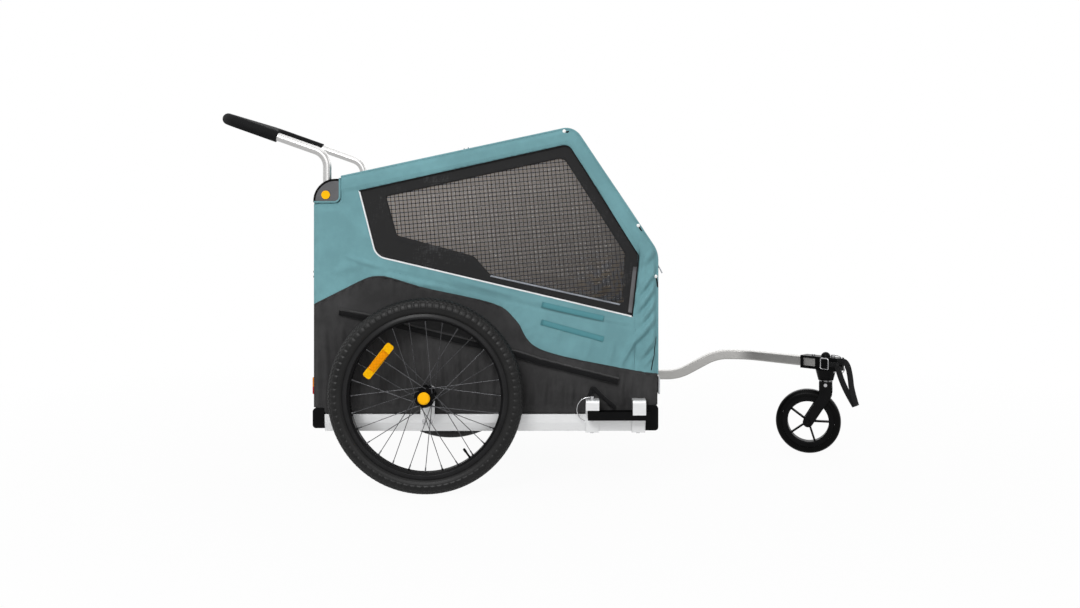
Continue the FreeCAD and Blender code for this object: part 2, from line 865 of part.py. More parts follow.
def make_end_skirts():
    """The lower cloth at both ends, narrowed between the corner caps."""
    narrow = -rail_inner_y - cap_lap - gap
    bottom = cross_tube_z + cross_tube_radius + floor_thickness + gap
    skirts = []
    for x, step, top in (
            (cabin_rear_x, rear_cap_top_z, seam_rear_z), (cabin_front_x - cloth, front_cap_top_z, seam_front_z)):
        upper = block(x, x + cloth, -sheet_half, sheet_half, step + gap, top - gap)
        lower = block(x, x + cloth, -narrow, narrow, bottom, step + gap)
        skirts.append(joined([upper, lower]))
    return skirts


def make_rear_reflector():
    """A reflector on the rear cloth, close to the corner."""
    outer = -sheet_half + reflector_edge_inset
    back = cabin_rear_x - gap
    body = block(
        back - corner_reflector_depth, back, outer, outer + corner_reflector_width,
        corner_reflector_z, corner_reflector_z + corner_reflector_height)
    return body.makeFillet(corner_reflector_round, rounded_edges(body, back - corner_reflector_depth))


def make_front_reflector():
    """A reflector plate that stands off the front cloth on two posts."""
    outer = -sheet_half + reflector_edge_inset
    back = cabin_front_x + gap
    plate = block(
        back + reflector_post, back + reflector_post + corner_reflector_depth / 2, outer,
        outer + corner_reflector_width, corner_reflector_z, corner_reflector_z + corner_reflector_height)
    middle = outer + corner_reflector_width / 2
    pieces = [plate]
    for share in post_shares:
        z = corner_reflector_z + corner_reflector_height * share
        pieces.append(rod(reflector_post, V(back, middle, z), V(back + reflector_post, middle, z)))
    return joined(pieces)


def rounded_edges(body, x):
    """The edges of the face that shows."""
    return [e for e in body.Edges if all(abs(v.X - x) < gap for v in e.Vertexes)]


# Handle hubs and push handle

outer_cheek_y = cage_y - handle_radius - hub_gap
inner_cheek_y = cage_y + handle_radius + hub_gap
cheek_face_y = outer_cheek_y - cheek_thickness
cover_face_y = cheek_face_y - hub_cover_thickness
counterbore_y = cheek_face_y + counterbore_depth


def hub_outline(edge, y0, y1):
    """The quarter-round plate of the handle hub, drawn in from its outline by an edge."""
    round_x = cabin_rear_x - hub_cover_thickness + hub_cover_round
    radius = hub_cover_round - edge
    bottom = notch_z + gap
    low = V(round_x - radius, y0, bottom)
    slope = math.sqrt(radius ** 2 / 2)
    centre_z = hub_cover_top_z - hub_cover_round
    start = V(round_x - radius, y0, centre_z)
    middle = V(round_x - slope, y0, centre_z + slope)
    top = V(round_x, y0, centre_z + radius)
    corner = V(hub_cover_front_x, y0, centre_z + radius)
    nook_x = hub_cover_front_x - notch_round
    nook_z = bottom + notch_round
    nook = math.sqrt(notch_round ** 2 / 2)
    foot = V(hub_cover_front_x, y0, nook_z)
    heel = V(nook_x, y0, bottom)
    edges = [
        Part.LineSegment(low, start).toShape(), Part.Arc(start, middle, top).toShape(),
        Part.LineSegment(top, corner).toShape(), Part.LineSegment(corner, foot).toShape(),
        Part.Arc(foot, V(nook_x + nook, y0, nook_z - nook), heel).toShape(),
        Part.LineSegment(heel, low).toShape(),
    ]
    return Part.Face(Part.Wire(edges)).extrude(V(0, y1 - y0, 0))


def pivot_rod(radius, y0, y1):
    return rod(radius, V(hub_x, y0, hub_z), V(hub_x, y1, hub_z))


def make_handle_hub():
    """Two cheeks on a web, with spigots for the upright and the roof tube."""
    outer = hub_outline(0, cheek_face_y, outer_cheek_y)
    inner = hub_outline(0, inner_cheek_y, inner_cheek_y + cheek_thickness)
    web_y = cloth_inner_y + gap
    inner_face = inner_cheek_y + cheek_thickness
    web_top = hub_z - eye_radius - gap
    floor_web = block(
        cabin_rear_x + cloth + gap, hub_cover_front_x, web_y, inner_face, notch_z - hub_web, web_top)
    sill = block(
        cabin_rear_x + cloth + gap, hub_cover_front_x - notch_round, cheek_face_y, web_y, notch_z + gap, web_top)
    front_web = block(
        hub_cover_front_x - hub_web, hub_cover_front_x, outer_cheek_y, inner_cheek_y,
        web_top + notch_round, hub_cover_top_z)
    plug = cage_tube_radius - cage_tube_wall - gap
    head = upright_ends()[1]
    lower = rod(plug, head, head - UP * spigot_length)
    start = V(cage_line[0][0], cage_y, cage_line[0][1])
    run = (V(cage_line[1][0], cage_y, cage_line[1][1]) - start).normalize()
    forward = rod(plug, start - run * hub_web, start + run * spigot_length)
    body = joined([outer, inner, floor_web, sill, front_web, lower, forward])
    body = body.cut(pivot_rod(pivot_radius + running_fit, counterbore_y, inner_face + overrun))
    return body.cut(pivot_rod(handle_button_radius + gap, cheek_face_y - overrun, counterbore_y))


def make_hub_cover():
    """The grey plate that lies on the outer cheek inside its dark rim."""
    plate = hub_outline(hub_rim, cover_face_y, cheek_face_y)
    return plate.cut(pivot_rod(handle_button_radius + gap, cover_face_y - overrun, cheek_face_y + overrun))


def make_pivot():
    """The hollow pin that the handle turns on."""
    return ring(
        pivot_radius, pivot_bore, V(hub_x, counterbore_y, hub_z),
        V(hub_x, inner_cheek_y + cheek_thickness, hub_z))


def make_handle_button():
    """The release button at the hub, on a stem inside the pivot."""
    inner = counterbore_y - handle_button_travel - gap
    head = pivot_rod(handle_button_radius, inner - handle_button_height, inner)
    stem = pivot_rod(pivot_bore - running_fit, inner, inner + handle_button_stem)
    return joined([head, stem])


def handle_points():
    """The handle's centre line, from the right hub round to the left one."""
    right = [
        V(hub_x, cage_y, hub_z), V(hub_x, cage_y, handle_bend_z), V(handle_rear_x, cage_y, handle_rear_z),
    ]
    return right + [V(p.x, -p.y, p.z) for p in reversed(right)]


def make_handlebar():
    """A bent tube with a pivot eye at the foot of each leg."""
    points = handle_points()
    rounds = [0, handle_bend_round, handle_corner_round, handle_corner_round, handle_bend_round, 0]
    outside = bar(points, rounds, handle_radius)
    hollow = list(points)
    hollow[0] = points[0] + UP * (eye_radius + handle_wall)
    hollow[-1] = points[-1] + UP * (eye_radius + handle_wall)
    eye = pivot_rod(eye_radius, cage_y - handle_radius, cage_y + handle_radius)
    body = joined([outside] + both(eye)).cut(bar(hollow, rounds, handle_radius - handle_wall))
    bore = pivot_rod(pivot_radius + running_fit, outer_cheek_y, inner_cheek_y)
    return body.cut(Part.makeCompound(both(bore)))


def make_grip():
    """The foam sleeve round the crossbar and the rear of both legs."""
    leg_share = (grip_start_x - hub_x) / (handle_rear_x - hub_x)
    bend = V(hub_x, cage_y, handle_bend_z)
    corner = V(handle_rear_x, cage_y, handle_rear_z)
    start = bend + (corner - bend) * leg_share
    right = [start, corner]
    points = right + [V(p.x, -p.y, p.z) for p in reversed(right)]
    rounds = [0, handle_corner_round, handle_corner_round, 0]
    return bent_tube(points, rounds, grip_radius, grip_radius - handle_radius - gap)


# Tow brackets

hood_inner_y = rail_outer_y - clamp_wall
hood_outer_y = bracket_y - arm_side / 2 - arm_slack - receiver_wall
channel_half = arm_side / 2 + arm_slack


def make_clamp(x, skirt_z):
    """A bent strap: a foot under the rail, a back on its face and a hood over the receiver."""
    end = x + clamp_length
    bottom = rail_bottom_z - clamp_wall
    back = block(x, end, hood_inner_y, rail_outer_y, bottom, hood_top_z)
    foot = block(x, end, hood_inner_y, rail_inner_y - clamp_wall, bottom, rail_bottom_z)
    corners = [
        V(x, hood_inner_y, hood_top_z), V(x, hood_outer_y - clamp_wall, hood_top_z),
        V(x, hood_outer_y - clamp_wall, skirt_z), V(x, hood_outer_y, skirt_z),
        V(x, hood_outer_y, hood_top_z - clamp_wall), V(x, hood_inner_y, hood_top_z - clamp_wall),
    ]
    rounds = [0, hood_round, 0, 0, hood_round - clamp_wall, 0]
    hood = Part.Face(route(corners, rounds, True)).extrude(V(clamp_length, 0, 0))
    body = joined([back, foot, hood])
    hole = V(x + clamp_length / 2, clamp_bolt_y(), bottom)
    body = body.cut(rod(bolt_radius + gap, hole - UP * overrun, hole + UP * (clamp_wall + overrun)))
    pin = V(lock_pin_x, bracket_y, arm_z)
    return body.cut(rod(lock_pin_radius + gap, pin, pin + UP * hood_top_z))


def make_clamps():
    return [make_clamp(rear_clamp_x, rear_hood_skirt_z), make_clamp(front_clamp_x, front_hood_skirt_z)]


def make_receiver():
    """A moulded channel for the arm: a closed sleeve in each hood and an open tray between them."""
    end = receiver_start_x + receiver_length
    low_y = hood_outer_y + gap
    high_y = hood_inner_y - gap
    top = hood_top_z - clamp_wall - gap
    body = block(receiver_start_x, end, low_y, high_y, receiver_bottom_z, top)
    channel = block(
        receiver_start_x - overrun, end + overrun, bracket_y - channel_half, bracket_y + channel_half,
        arm_z - channel_half, arm_z + channel_half)
    rounded_top = hood_round + clamp_wall
    shoulder = block(
        receiver_start_x - overrun, end + overrun, low_y - overrun, low_y + rounded_top - receiver_wall,
        top - rounded_top + receiver_wall, top + overrun)
    body = body.cut(channel).cut(shoulder)
    for x0, x1 in ((rear_clamp_x + clamp_length, front_clamp_x), (front_clamp_x + clamp_length, end + overrun)):
        body = body.cut(block(x0, x1, low_y - overrun, high_y + overrun, arm_z, top + overrun))
    pin = V(lock_pin_x, bracket_y, lock_pin_tip_z)
    return body.cut(rod(lock_pin_radius + gap, pin, pin + UP * hood_top_z))


def wire_bail(start, middle, end):
    """A round wire bent to an arc through three points."""
    path = Part.Wire(Part.Arc(start, middle, end).toShape())
    first = path.Edges[0]
    circle = Part.Wire(Part.makeCircle(bail_wire_radius, start, first.tangentAt(first.FirstParameter)))
    return path.makePipeShell([circle], True, False)


def make_lock_pin():
    """A drop pin through the hood, with a wire bail round the back of the clamp."""
    tip = V(lock_pin_x, bracket_y, lock_pin_tip_z)
    neck = V(lock_pin_x, bracket_y, hood_top_z + gap)
    head_top = neck + UP * lock_pin_head_height
    shank = rod(lock_pin_radius, tip, neck)
    head = rod(lock_pin_head_radius, neck, head_top)
    start = (neck + head_top) / 2
    middle = V(lock_pin_x - bail_reach, bracket_y, (start.z + tip.z) / 2)
    end = V(rear_clamp_x - bail_end_gap, bracket_y, lock_pin_tip_z)
    return joined([shank, head, wire_bail(start, middle, end)])


def make_tether():
    """The webbing that keeps the drop pin with its bracket."""
    half = tether_width / 2
    slant = math.atan2(tether_peak_z - arm_z, tether_foot_x - tether_peak_x)
    foot_z = arm_z + gap + half * math.cos(slant)
    points = [(tether_heel_x, hood_top_z + half / 2), (tether_peak_x, tether_peak_z), (tether_foot_x, foot_z)]
    outline = inset(points, -half) + inset(points, half)[::-1]
    high_y = hood_inner_y - gap
    return slab(outline, [0] * len(outline), high_y - tether_thickness, high_y)


def rail_bolts():
    """The bolts that hold the axle plate and the two clamps to the right rail."""
    bolts = []
    for x in axle_bolt_places():
        bolts.append(make_bolt(V(x, rail_outer_y - axle_plate_thickness, axle_bolt_z()), LEFT))
    for x in clamp_bolt_places():
        bolts.append(make_bolt(V(x, clamp_bolt_y(), rail_bottom_z - clamp_wall), UP))
    return bolts


# Tow arm and hitch head

arm_y = -bracket_y
turn = math.radians(arm_turn_angle)
arm_run = V(math.cos(turn), -math.sin(turn), 0)


def placed(shape):
    """A piece drawn at the swivel axis with the arm along X, set in its place."""
    moved = shape.copy()
    moved.rotate(CENTRE, UP, -arm_turn_angle)
    moved.translate(V(swivel_x, swivel_y, 0))
    return moved


def arm_points():
    swivel = V(swivel_x, swivel_y, arm_rise_z)
    turn_x = swivel_x - (arm_y - swivel_y) / math.tan(turn)
    return [
        V(arm_stop_x, arm_y, arm_z), V(arm_rise_x, arm_y, arm_z),
        V(arm_rise_x + arm_rise_run, arm_y, arm_rise_z), V(turn_x, arm_y, arm_rise_z),
        swivel - arm_run * arm_end_gap,
    ]


def square_sweep(side, corner):
    """A square bar along the arm's centre line."""
    half = side / 2
    start = arm_points()[0]
    square = [start + V(0, a * half, b * half) for a, b in ((-1, -1), (1, -1), (1, 1), (-1, 1))]
    rounds = [0, arm_rise_round, arm_rise_round, arm_turn_round, 0]
    path = route(arm_points(), rounds)
    return path.makePipeShell([route(square, [corner] * len(square), True)], True, False)


def make_tow_arm():
    """A square tube that rises in an S and then turns in towards the hitch."""
    body = square_sweep(arm_side, arm_round).cut(square_sweep(arm_side - arm_wall * 2, arm_round - arm_wall))
    pin = V(lock_pin_x, arm_y, lock_pin_tip_z)
    body = body.cut(rod(lock_pin_radius + gap, pin, pin + UP * hood_top_z))
    hole = V(-head_bolt_setback, 0, arm_rise_z)
    return body.cut(placed(rod(bolt_radius + gap, hole, hole + UP * arm_side)))


head_top_z = arm_rise_z + arm_side / 2 + head_wall
head_bottom_z = arm_rise_z - arm_side / 2 - head_wall
hitch_pin_x = head_front - hitch_pin_setback


def make_hitch_head():
    """The head on the arm's end: two bands, a swivel housing with a dome, and the hitch socket."""
    wide = head_half_width
    front = block(-arm_end_gap + cap_lap, head_front, -wide, wide, head_bottom_z, head_top_z)
    shell = block(-head_rear, -arm_end_gap + cap_lap, -wide, wide, head_bottom_z, head_top_z)
    room = arm_side / 2 + head_slack
    shell = shell.cut(block(
        -head_rear - overrun, -arm_end_gap + cap_lap, -room, room, arm_rise_z - room, arm_rise_z + room))
    window_start = -head_rear + band_width
    window_end = -band_setback - band_width
    shell = shell.cut(block(
        window_start, window_end, -wide - overrun, wide + overrun, arm_rise_z - room, arm_rise_z + room))
    housing = Part.makeCone(
        swivel_housing_foot, swivel_housing_radius, head_bottom_z - swivel_housing_z, V(0, 0, swivel_housing_z))
    dome = Part.makeSphere(dome_radius, V(0, 0, head_top_z))
    body = joined([front, shell, housing, dome])
    body = body.cut(rod(stem_radius, V(0, 0, swivel_housing_z - overrun), V(0, 0, head_top_z)))
    mouth = V(head_front, 0, arm_rise_z)
    forward = V(1, 0, 0)
    seat = mouth - forward * socket_depth
    body = body.cut(rod(socket_radius, seat, mouth + forward * overrun))
    body = body.cut(rod(socket_back_radius, seat - forward * socket_back_depth, seat))
    pin = V(hitch_pin_x, 0, swivel_housing_z - overrun)
    body = body.cut(rod(hitch_pin_radius + gap, pin, pin + UP * head_top_z))
    hole = V(-head_bolt_setback, 0, arm_rise_z)
    body = body.cut(rod(bolt_radius + gap, hole, hole + UP * head_top_z))
    return placed(body)


def make_head_bolt():
    return placed(make_bolt(V(-head_bolt_setback, 0, head_top_z), -UP))


def make_hitch_pin():
    """A drop pin through the hitch socket, with a wire bail round the front."""
    tip = V(hitch_pin_x, 0, head_bottom_z - hitch_pin_drop)
    neck = V(hitch_pin_x, 0, head_top_z + gap)
    head_end = neck + UP * lock_pin_head_height
    start = (neck + head_end) / 2
    middle = V(hitch_pin_x + hitch_bail_reach, 0, arm_rise_z)
    end = V(head_front + bail_end_gap, 0, tip.z)
    pieces = [rod(hitch_pin_radius, tip, neck), rod(lock_pin_head_radius, neck, head_end)]
    return placed(joined(pieces + [wire_bail(start, middle, end)]))


def make_buckle():
    """The steel loop on the near side of the head that the strap is threaded through."""
    y = -head_half_width - gap - buckle_wire_radius
    half_width = buckle_width / 2
    half_height = buckle_height / 2
    corners = [
        V(buckle_x + a * half_width, y, arm_rise_z + b * half_height)
        for a, b in ((-1, -1), (1, -1), (1, 1), (-1, 1))
    ]
    path = route(corners, [buckle_round] * len(corners), True)
    start = path.Edges[0].Vertexes[0].Point
    circle = Part.Wire(Part.makeCircle(buckle_wire_radius, start, corners[1] - corners[0]))
    return placed(path.makePipeShell([circle], True, False))


def make_safety_strap():
    """A webbing loop that hangs ahead of the small wheel, sewn to a tail that runs to the buckle."""
    top = arm_rise_z + strap_crest
    low = top - strap_drop
    points = [
        (0, top), (strap_width * 2, top), (strap_reach + strap_spread, low + strap_spread),
        (strap_reach - strap_width / 2, low), (0, head_bottom_z - strap_width),
    ]
    loop = slab(points, [0, strap_width, 0, 0, 0], -gap - strap_thickness, -gap)
    hole = [
        (strap_width, top - strap_width), (strap_width * 2, top - strap_width),
        (strap_reach - strap_spread, low + strap_drop / 3), (strap_width, head_bottom_z - strap_width),
    ]
    loop = loop.cut(slab(hole, [0] * len(hole), -strap_thickness - overrun, overrun))
    loop.rotate(CENTRE, UP, arm_turn_angle - strap_turn_angle)
    loop.translate(V(head_front, -head_half_width, 0))
    near = -head_half_width - gap
    tail = block(
        buckle_x + buckle_width / 2 + buckle_wire_radius + gap, head_front, near - strap_thickness, near,
        arm_rise_z - strap_width / 2, arm_rise_z + strap_width / 2)
    return placed(joined([loop, tail]))


# Swivel wheel

caster_centre = V(-caster_trail, 0, caster_radius)
fork_top_z = swivel_housing_z - fork_top_gap
crown_bottom_z = fork_top_z - neck_bolt_drop * 2


def swivelled(shape):
    """A piece drawn with the swivel axis at the origin, turned and set in its place."""
    moved = shape.copy()
    moved.rotate(CENTRE, UP, caster_yaw)
    moved.translate(V(swivel_x, swivel_y, 0))
    return moved


def caster_ring(profile, rounds):
    """A ring about the small wheel's axle, from points of offset and radius."""
    points = [caster_centre + V(0, offset, radius) for offset, radius in profile]
    whole_turn = 360.0
    return Part.Face(route(points, rounds, True)).revolve(caster_centre, LEFT, whole_turn)


def make_caster_tyre():
    half = caster_width / 2
    inner = caster_rim_radius + gap
    profile = [(-half, inner), (half, inner), (half, caster_radius), (-half, caster_radius)]
    return swivelled(caster_ring(profile, [0, 0, caster_tread_round, caster_tread_round]))


def make_caster_wheel():
    """A moulded rim with five thin spokes and a bored hub."""
    half = caster_rim_width / 2
    web = caster_rim_wall
    profile = [
        (-half, caster_rim_inner), (half, caster_rim_inner), (half, caster_rim_radius), (-half, caster_rim_radius),
    ]
    rim = caster_ring(profile, [web, web, 0, 0])
    hub_half = fork_gap - gap
    hub = rod(caster_hub_radius, caster_centre - LEFT * hub_half, caster_centre + LEFT * hub_half)
    pieces = [rim, hub]
    spoke_mid = (caster_hub_radius + caster_rim_inner) / 2
    spoke_half = (caster_rim_inner - caster_hub_radius) / 2 + web
    for i in range(caster_spoke_count):
        arm = Part.makeBox(
            spoke_half * 2, caster_spoke_depth, caster_spoke_width,
            caster_centre + V(spoke_mid - spoke_half, -caster_spoke_depth / 2, -caster_spoke_width / 2))
        arm.rotate(caster_centre, LEFT, 360.0 * i / caster_spoke_count)
        pieces.append(arm)
    body = joined(pieces)
    bore = LEFT * (hub_half + overrun)
    return swivelled(body.cut(rod(caster_axle_radius + running_fit, caster_centre - bore, caster_centre + bore)))


def make_fork():
    """Two swept blades under a crown, with a hole for the stem."""
    foot = caster_centre
    neck = V(0, 0, fork_shoulder_z)
    lean = (neck - foot).normalize()
    side = V(lean.z, 0, -lean.x) * fork_foot_radius
    wide = fork_neck_half
    outline = [
        (-wide, fork_top_z), (wide, fork_top_z), (wide, fork_shoulder_z),
        (foot.x + side.x, foot.z + side.z), (foot.x - side.x, foot.z - side.z), (-wide, fork_shoulder_z),
    ]
    rounds = [fork_blade, fork_blade, wide, 0, 0, wide]
    outer = fork_gap + fork_blade
    pieces = []
    for y0, y1 in ((-outer, -fork_gap), (fork_gap, outer)):
        pieces.append(slab(outline, rounds, y0, y1))
        pieces.append(rod(fork_foot_radius, V(foot.x, y0, foot.z), V(foot.x, y1, foot.z)))
    pieces.append(block(-wide, wide, -outer, outer, crown_bottom_z, fork_top_z))
    body = joined(pieces)
    reach = LEFT * (outer + overrun)
    body = body.cut(rod(caster_axle_radius + running_fit, foot - reach, foot + reach))
    body = body.cut(rod(stem_radius, V(0, 0, crown_bottom_z - overrun), V(0, 0, fork_top_z + overrun)))
    bolt = V(0, -outer - overrun, fork_top_z - neck_bolt_drop)
    return swivelled(body.cut(rod(bolt_radius + gap, bolt, V(0, 0, bolt.z))))


def make_stem():
    """The swivel pin, with a collar that lies on the crown."""
    radius = stem_radius - running_fit
    pin = rod(radius, V(0, 0, crown_bottom_z), V(0, 0, head_top_z - gap))
    collar = rod(swivel_housing_foot - head_wall, V(0, 0, fork_top_z), V(0, 0, swivel_housing_z - gap))
    return swivelled(joined([pin, collar]))


def make_caster_bolts():
    """The small wheel's axle bolt and the bolt in the neck of the fork."""
    outer = fork_gap + fork_blade
    axle = rod(caster_axle_radius, caster_centre - LEFT * outer, caster_centre + LEFT * outer)
    pieces = [axle]
    for side in (-1, 1):
        face = caster_centre + LEFT * outer * side
        pieces.append(rod(caster_bolt_head_radius, face, face + LEFT * caster_bolt_head * side))
    neck = V(0, -outer, fork_top_z - neck_bolt_drop)
    neck_bolt = make_bolt(neck, LEFT)
    return [swivelled(joined(pieces)), swivelled(neck_bolt)]


def all_pieces():
    """Every node by name, with its solids."""
    pair_nodes = {
        "rear_corner_caps": make_rear_cap(), "front_corner_caps": make_front_cap(),
        "axle_plates": make_axle_plate(), "wheel_axles": make_axle(), "rear_uprights": make_upright(),
        "handle_hubs": make_handle_hub(), "hub_covers": make_hub_cover(), "handle_pivots": make_pivot(),
        "rear_reflectors": make_rear_reflector(), "front_reflectors": make_front_reflector(),
        "tow_receivers": make_receiver(), "tether_straps": make_tether(),
    }
    sided_nodes = {
        "side_rail": [make_rail()], "cage_hoop": [make_hoop()], "side_panel": [make_side_panel()],
        "window": [make_window()], "side_skirt": [make_side_skirt()],
        "tow_clamps": make_clamps(), "lock_pin": [make_lock_pin()],
        "tyre": [make_tyre()], "rim": [make_rim()], "spokes": make_spokes(), "hub": make_hub(),
        "spoke_reflector": [make_spoke_reflector()], "wheel_button": [make_wheel_button()],
        "handle_button": [make_handle_button()],
    }
    pieces = {
        "cross_tubes": make_cross_tubes(), "floor_panel": [make_floor()], "roof_crossbars": make_crossbars(),
        "roof_panel": [make_roof_panel()], "front_door": [make_front_door()], "rear_panel": [make_rear_panel()],
        "end_skirts": make_end_skirts(), "handlebar_tube": [make_handlebar()], "handle_grip": [make_grip()],
        "tow_arm": [make_tow_arm()], "hitch_head": [make_hitch_head()], "hitch_pin": [make_hitch_pin()],
        "hitch_buckle": [make_buckle()], "safety_strap": [make_safety_strap()],
        "caster_tyre": [make_caster_tyre()], "caster_wheel": [make_caster_wheel()], "caster_fork": [make_fork()],
        "caster_stem": [make_stem()], "caster_bolts": make_caster_bolts(),
    }
    bolts = rail_bolts()
    pieces["frame_bolts"] = bolts + [mirrored(b) for b in bolts] + [make_head_bolt()]
    for name, shape in pair_nodes.items():
        pieces[name] = both(shape)
    for name, shapes in sided_nodes.items():
        pieces[name + "_right"] = shapes
        pieces[name + "_left"] = [mirrored(s) for s in shapes]
    return pieces


def write(pieces):
    """Set the origin under the middle of the trailer, without its loose strap, and write the files."""
    rigid = Part.makeCompound([s for name, shapes in pieces.items() if name != "safety_strap" for s in shapes])
    limits = rigid.optimalBoundingBox(False)
    origin_x = (limits.XMin + limits.XMax) / 2
    print("drawn axle at x", -origin_x)
    os.makedirs("parts", exist_ok=True)
    for name, shapes in pieces.items():
        node = Part.makeCompound(shapes) if len(shapes) > 1 else shapes[0]
        node.translate(V(-origin_x, 0, 0))
        node.exportStep("parts/" + name + ".step")


write(all_pieces())
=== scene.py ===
"""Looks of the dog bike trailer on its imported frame.

Lengths are in millimetres, with X from the axle, Y from the middle plane and Z from the floor,
until at() sets a point in its place in metres.
"""
import math
import bpy
import numpy as np
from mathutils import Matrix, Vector, geometry


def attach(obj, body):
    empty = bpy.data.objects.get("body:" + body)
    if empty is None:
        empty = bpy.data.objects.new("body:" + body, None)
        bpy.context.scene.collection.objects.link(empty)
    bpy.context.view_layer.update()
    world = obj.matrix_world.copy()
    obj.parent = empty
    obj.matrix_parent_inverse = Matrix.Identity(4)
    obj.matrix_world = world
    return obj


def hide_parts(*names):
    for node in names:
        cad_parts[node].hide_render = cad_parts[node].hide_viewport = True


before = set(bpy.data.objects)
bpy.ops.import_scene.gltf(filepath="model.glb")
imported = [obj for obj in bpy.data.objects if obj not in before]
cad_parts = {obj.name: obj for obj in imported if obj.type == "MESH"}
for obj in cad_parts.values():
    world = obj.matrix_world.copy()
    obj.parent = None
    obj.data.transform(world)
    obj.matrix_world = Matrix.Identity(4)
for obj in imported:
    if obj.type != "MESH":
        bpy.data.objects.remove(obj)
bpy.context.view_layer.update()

# Places shared with the solids
axle_x = -318.395
axle_z = 250
wheel_y = 365
rear_x = -296
front_x = 597
rail_top = 194
apex_z = 941
cloth_y = 302.5
half_width = 300.7
roof_line = [(-227, 811), (379, 941), (597, 615)]
notch_x, notch_top = roof_line[0]
apex_round = 42
elbow_round = 70
door_drop = 48
notch_z = 745
rear_low_z = 211
front_low_z = 218
seam_gap = 0.3
sides = ((-1, "right"), (1, "left"))
seam_shares = [
    (0, 0.38), (0.073, 0.424), (0.15, 0.469), (0.188, 0.478), (0.227, 0.471), (0.329, 0.435),
    (0.522, 0.382), (0.586, 0.325), (0.654, 0.225), (0.878, 0.161), (1, 0.138),
]
window_shares = [(0.131, 0.778), (0.742, 0.94), (0.947, 0.55), (0.928, 0.339), (0.18, 0.549)]
window_rounds = [6, 24, 12, 8, 38]
mesh_shares = [
    (0.209, 0.758), (0.727, 0.893), (0.906, 0.558), (0.897, 0.384), (0.512, 0.486),
    (0.465, 0.55), (0.241, 0.622),
]
mesh_rounds = [6, 22, 12, 10, 26, 26, 10]
ridge_shares = [(0.075, 0.355), (0.151, 0.337), (0.599, 0.205), (0.657, 0.183), (0.884, 0.114)]
strip_shares = [((0.663, 0.3815), (0.843, 0.333)), ((0.661, 0.32), (0.843, 0.26))]


def at(x, y, z):
    """A point in its place, in metres."""
    return Vector(((x + axle_x) / 1000, y / 1000, z / 1000))


def on_side(shares):
    """Points given as shares of the side wall."""
    return [(rear_x + u * (front_x - rear_x), rail_top + v * (apex_z - rail_top)) for u, v in shares]


# Camera

lens_data = bpy.data.cameras.new("camera")
lens_data.sensor_width = 36
lens_data.lens = 38.17
lens_data.shift_x = -0.0111
lens_data.shift_y = -0.087
camera = bpy.data.objects.new("camera", lens_data)
camera.location = (0.0043, -3.285, 0.7245)
camera.rotation_euler = (math.pi / 2, 0, 0)
bpy.context.scene.collection.objects.link(camera)
bpy.context.scene.camera = camera


# Materials

class Finish:
    """A material with short ways to add and join its nodes."""

    def __init__(self, **constants):
        self.material = bpy.data.materials.new("finish")
        self.material.use_nodes = True
        self.tree = self.material.node_tree
        self.shader = self.tree.nodes["Principled BSDF"]
        for socket, value in constants.items():
            self.shader.inputs[socket.replace("_", " ")].default_value = value
        self.place = self.add("ShaderNodeTexCoord").outputs["Object"]

    def add(self, kind, links=None, **inputs):
        """A node with some sockets set and some joined to other outputs."""
        node = self.tree.nodes.new(kind)
        for socket, value in inputs.items():
            node.inputs[socket.replace("_", " ")].default_value = value
        for socket, output in (links or {}).items():
            self.tree.links.new(output, node.inputs[socket])
        return node

    def join(self, output, socket):
        self.tree.links.new(output, self.shader.inputs[socket])

    def stretched(self, scale):
        """The place, drawn out along some axes."""
        return self.add("ShaderNodeMapping", {"Vector": self.place}, Scale=scale).outputs["Vector"]

    def noise(self, scale, detail=3, place=None):
        links = {"Vector": place or self.place}
        return self.add("ShaderNodeTexNoise", links, Scale=scale, Detail=detail).outputs["Fac"]

    def shades(self, value, low, dark, high, light):
        """A colour that runs from dark to light as a value runs from low to high."""
        ramp = self.add("ShaderNodeValToRGB", {"Fac": value})
        ramp.color_ramp.elements[0].position = low
        ramp.color_ramp.elements[0].color = (*dark, 1)
        ramp.color_ramp.elements[1].position = high
        ramp.color_ramp.elements[1].color = (*light, 1)
        return ramp.outputs["Color"]

    def range(self, value, low, high, start=0, stop=1):
        """A value that runs from low to high as another runs from start to stop."""
        limits = {"From_Min": start, "From_Max": stop, "To_Min": low, "To_Max": high}
        return self.add("ShaderNodeMapRange", {"Value": value}, **limits).outputs["Result"]

    def wave(self, pitch, distortion, direction):
        """Bands of a pitch in metres."""
        scale = math.pi / 10 / pitch
        node = self.add("ShaderNodeTexWave", {"Vector": self.place}, Scale=scale, Distortion=distortion)
        node.bands_direction = direction
        return node.outputs["Fac"]

    def total(self, first, second, operation="ADD"):
        node = self.add("ShaderNodeMath", {0: first, 1: second})
        node.operation = operation
        return node.outputs["Value"]

    def relief(self, height, strength, distance, edge=0):
        """Bumps from a height, on edges that may be rounded."""
        bump = self.add("ShaderNodeBump", {"Height": height}, Strength=strength, Distance=distance)
        if edge:
            bevel = self.add("ShaderNodeBevel", Radius=edge)
            bevel.samples = 4
            self.tree.links.new(bevel.outputs["Normal"], bump.inputs["Normal"])
        self.join(bump.outputs["Normal"], "Normal")


def tones(colour, spread):
    """A darker and a lighter shade of a colour."""
    return [c * (1 - spread) for c in colour], [min(c * (1 + spread), 1) for c in colour]


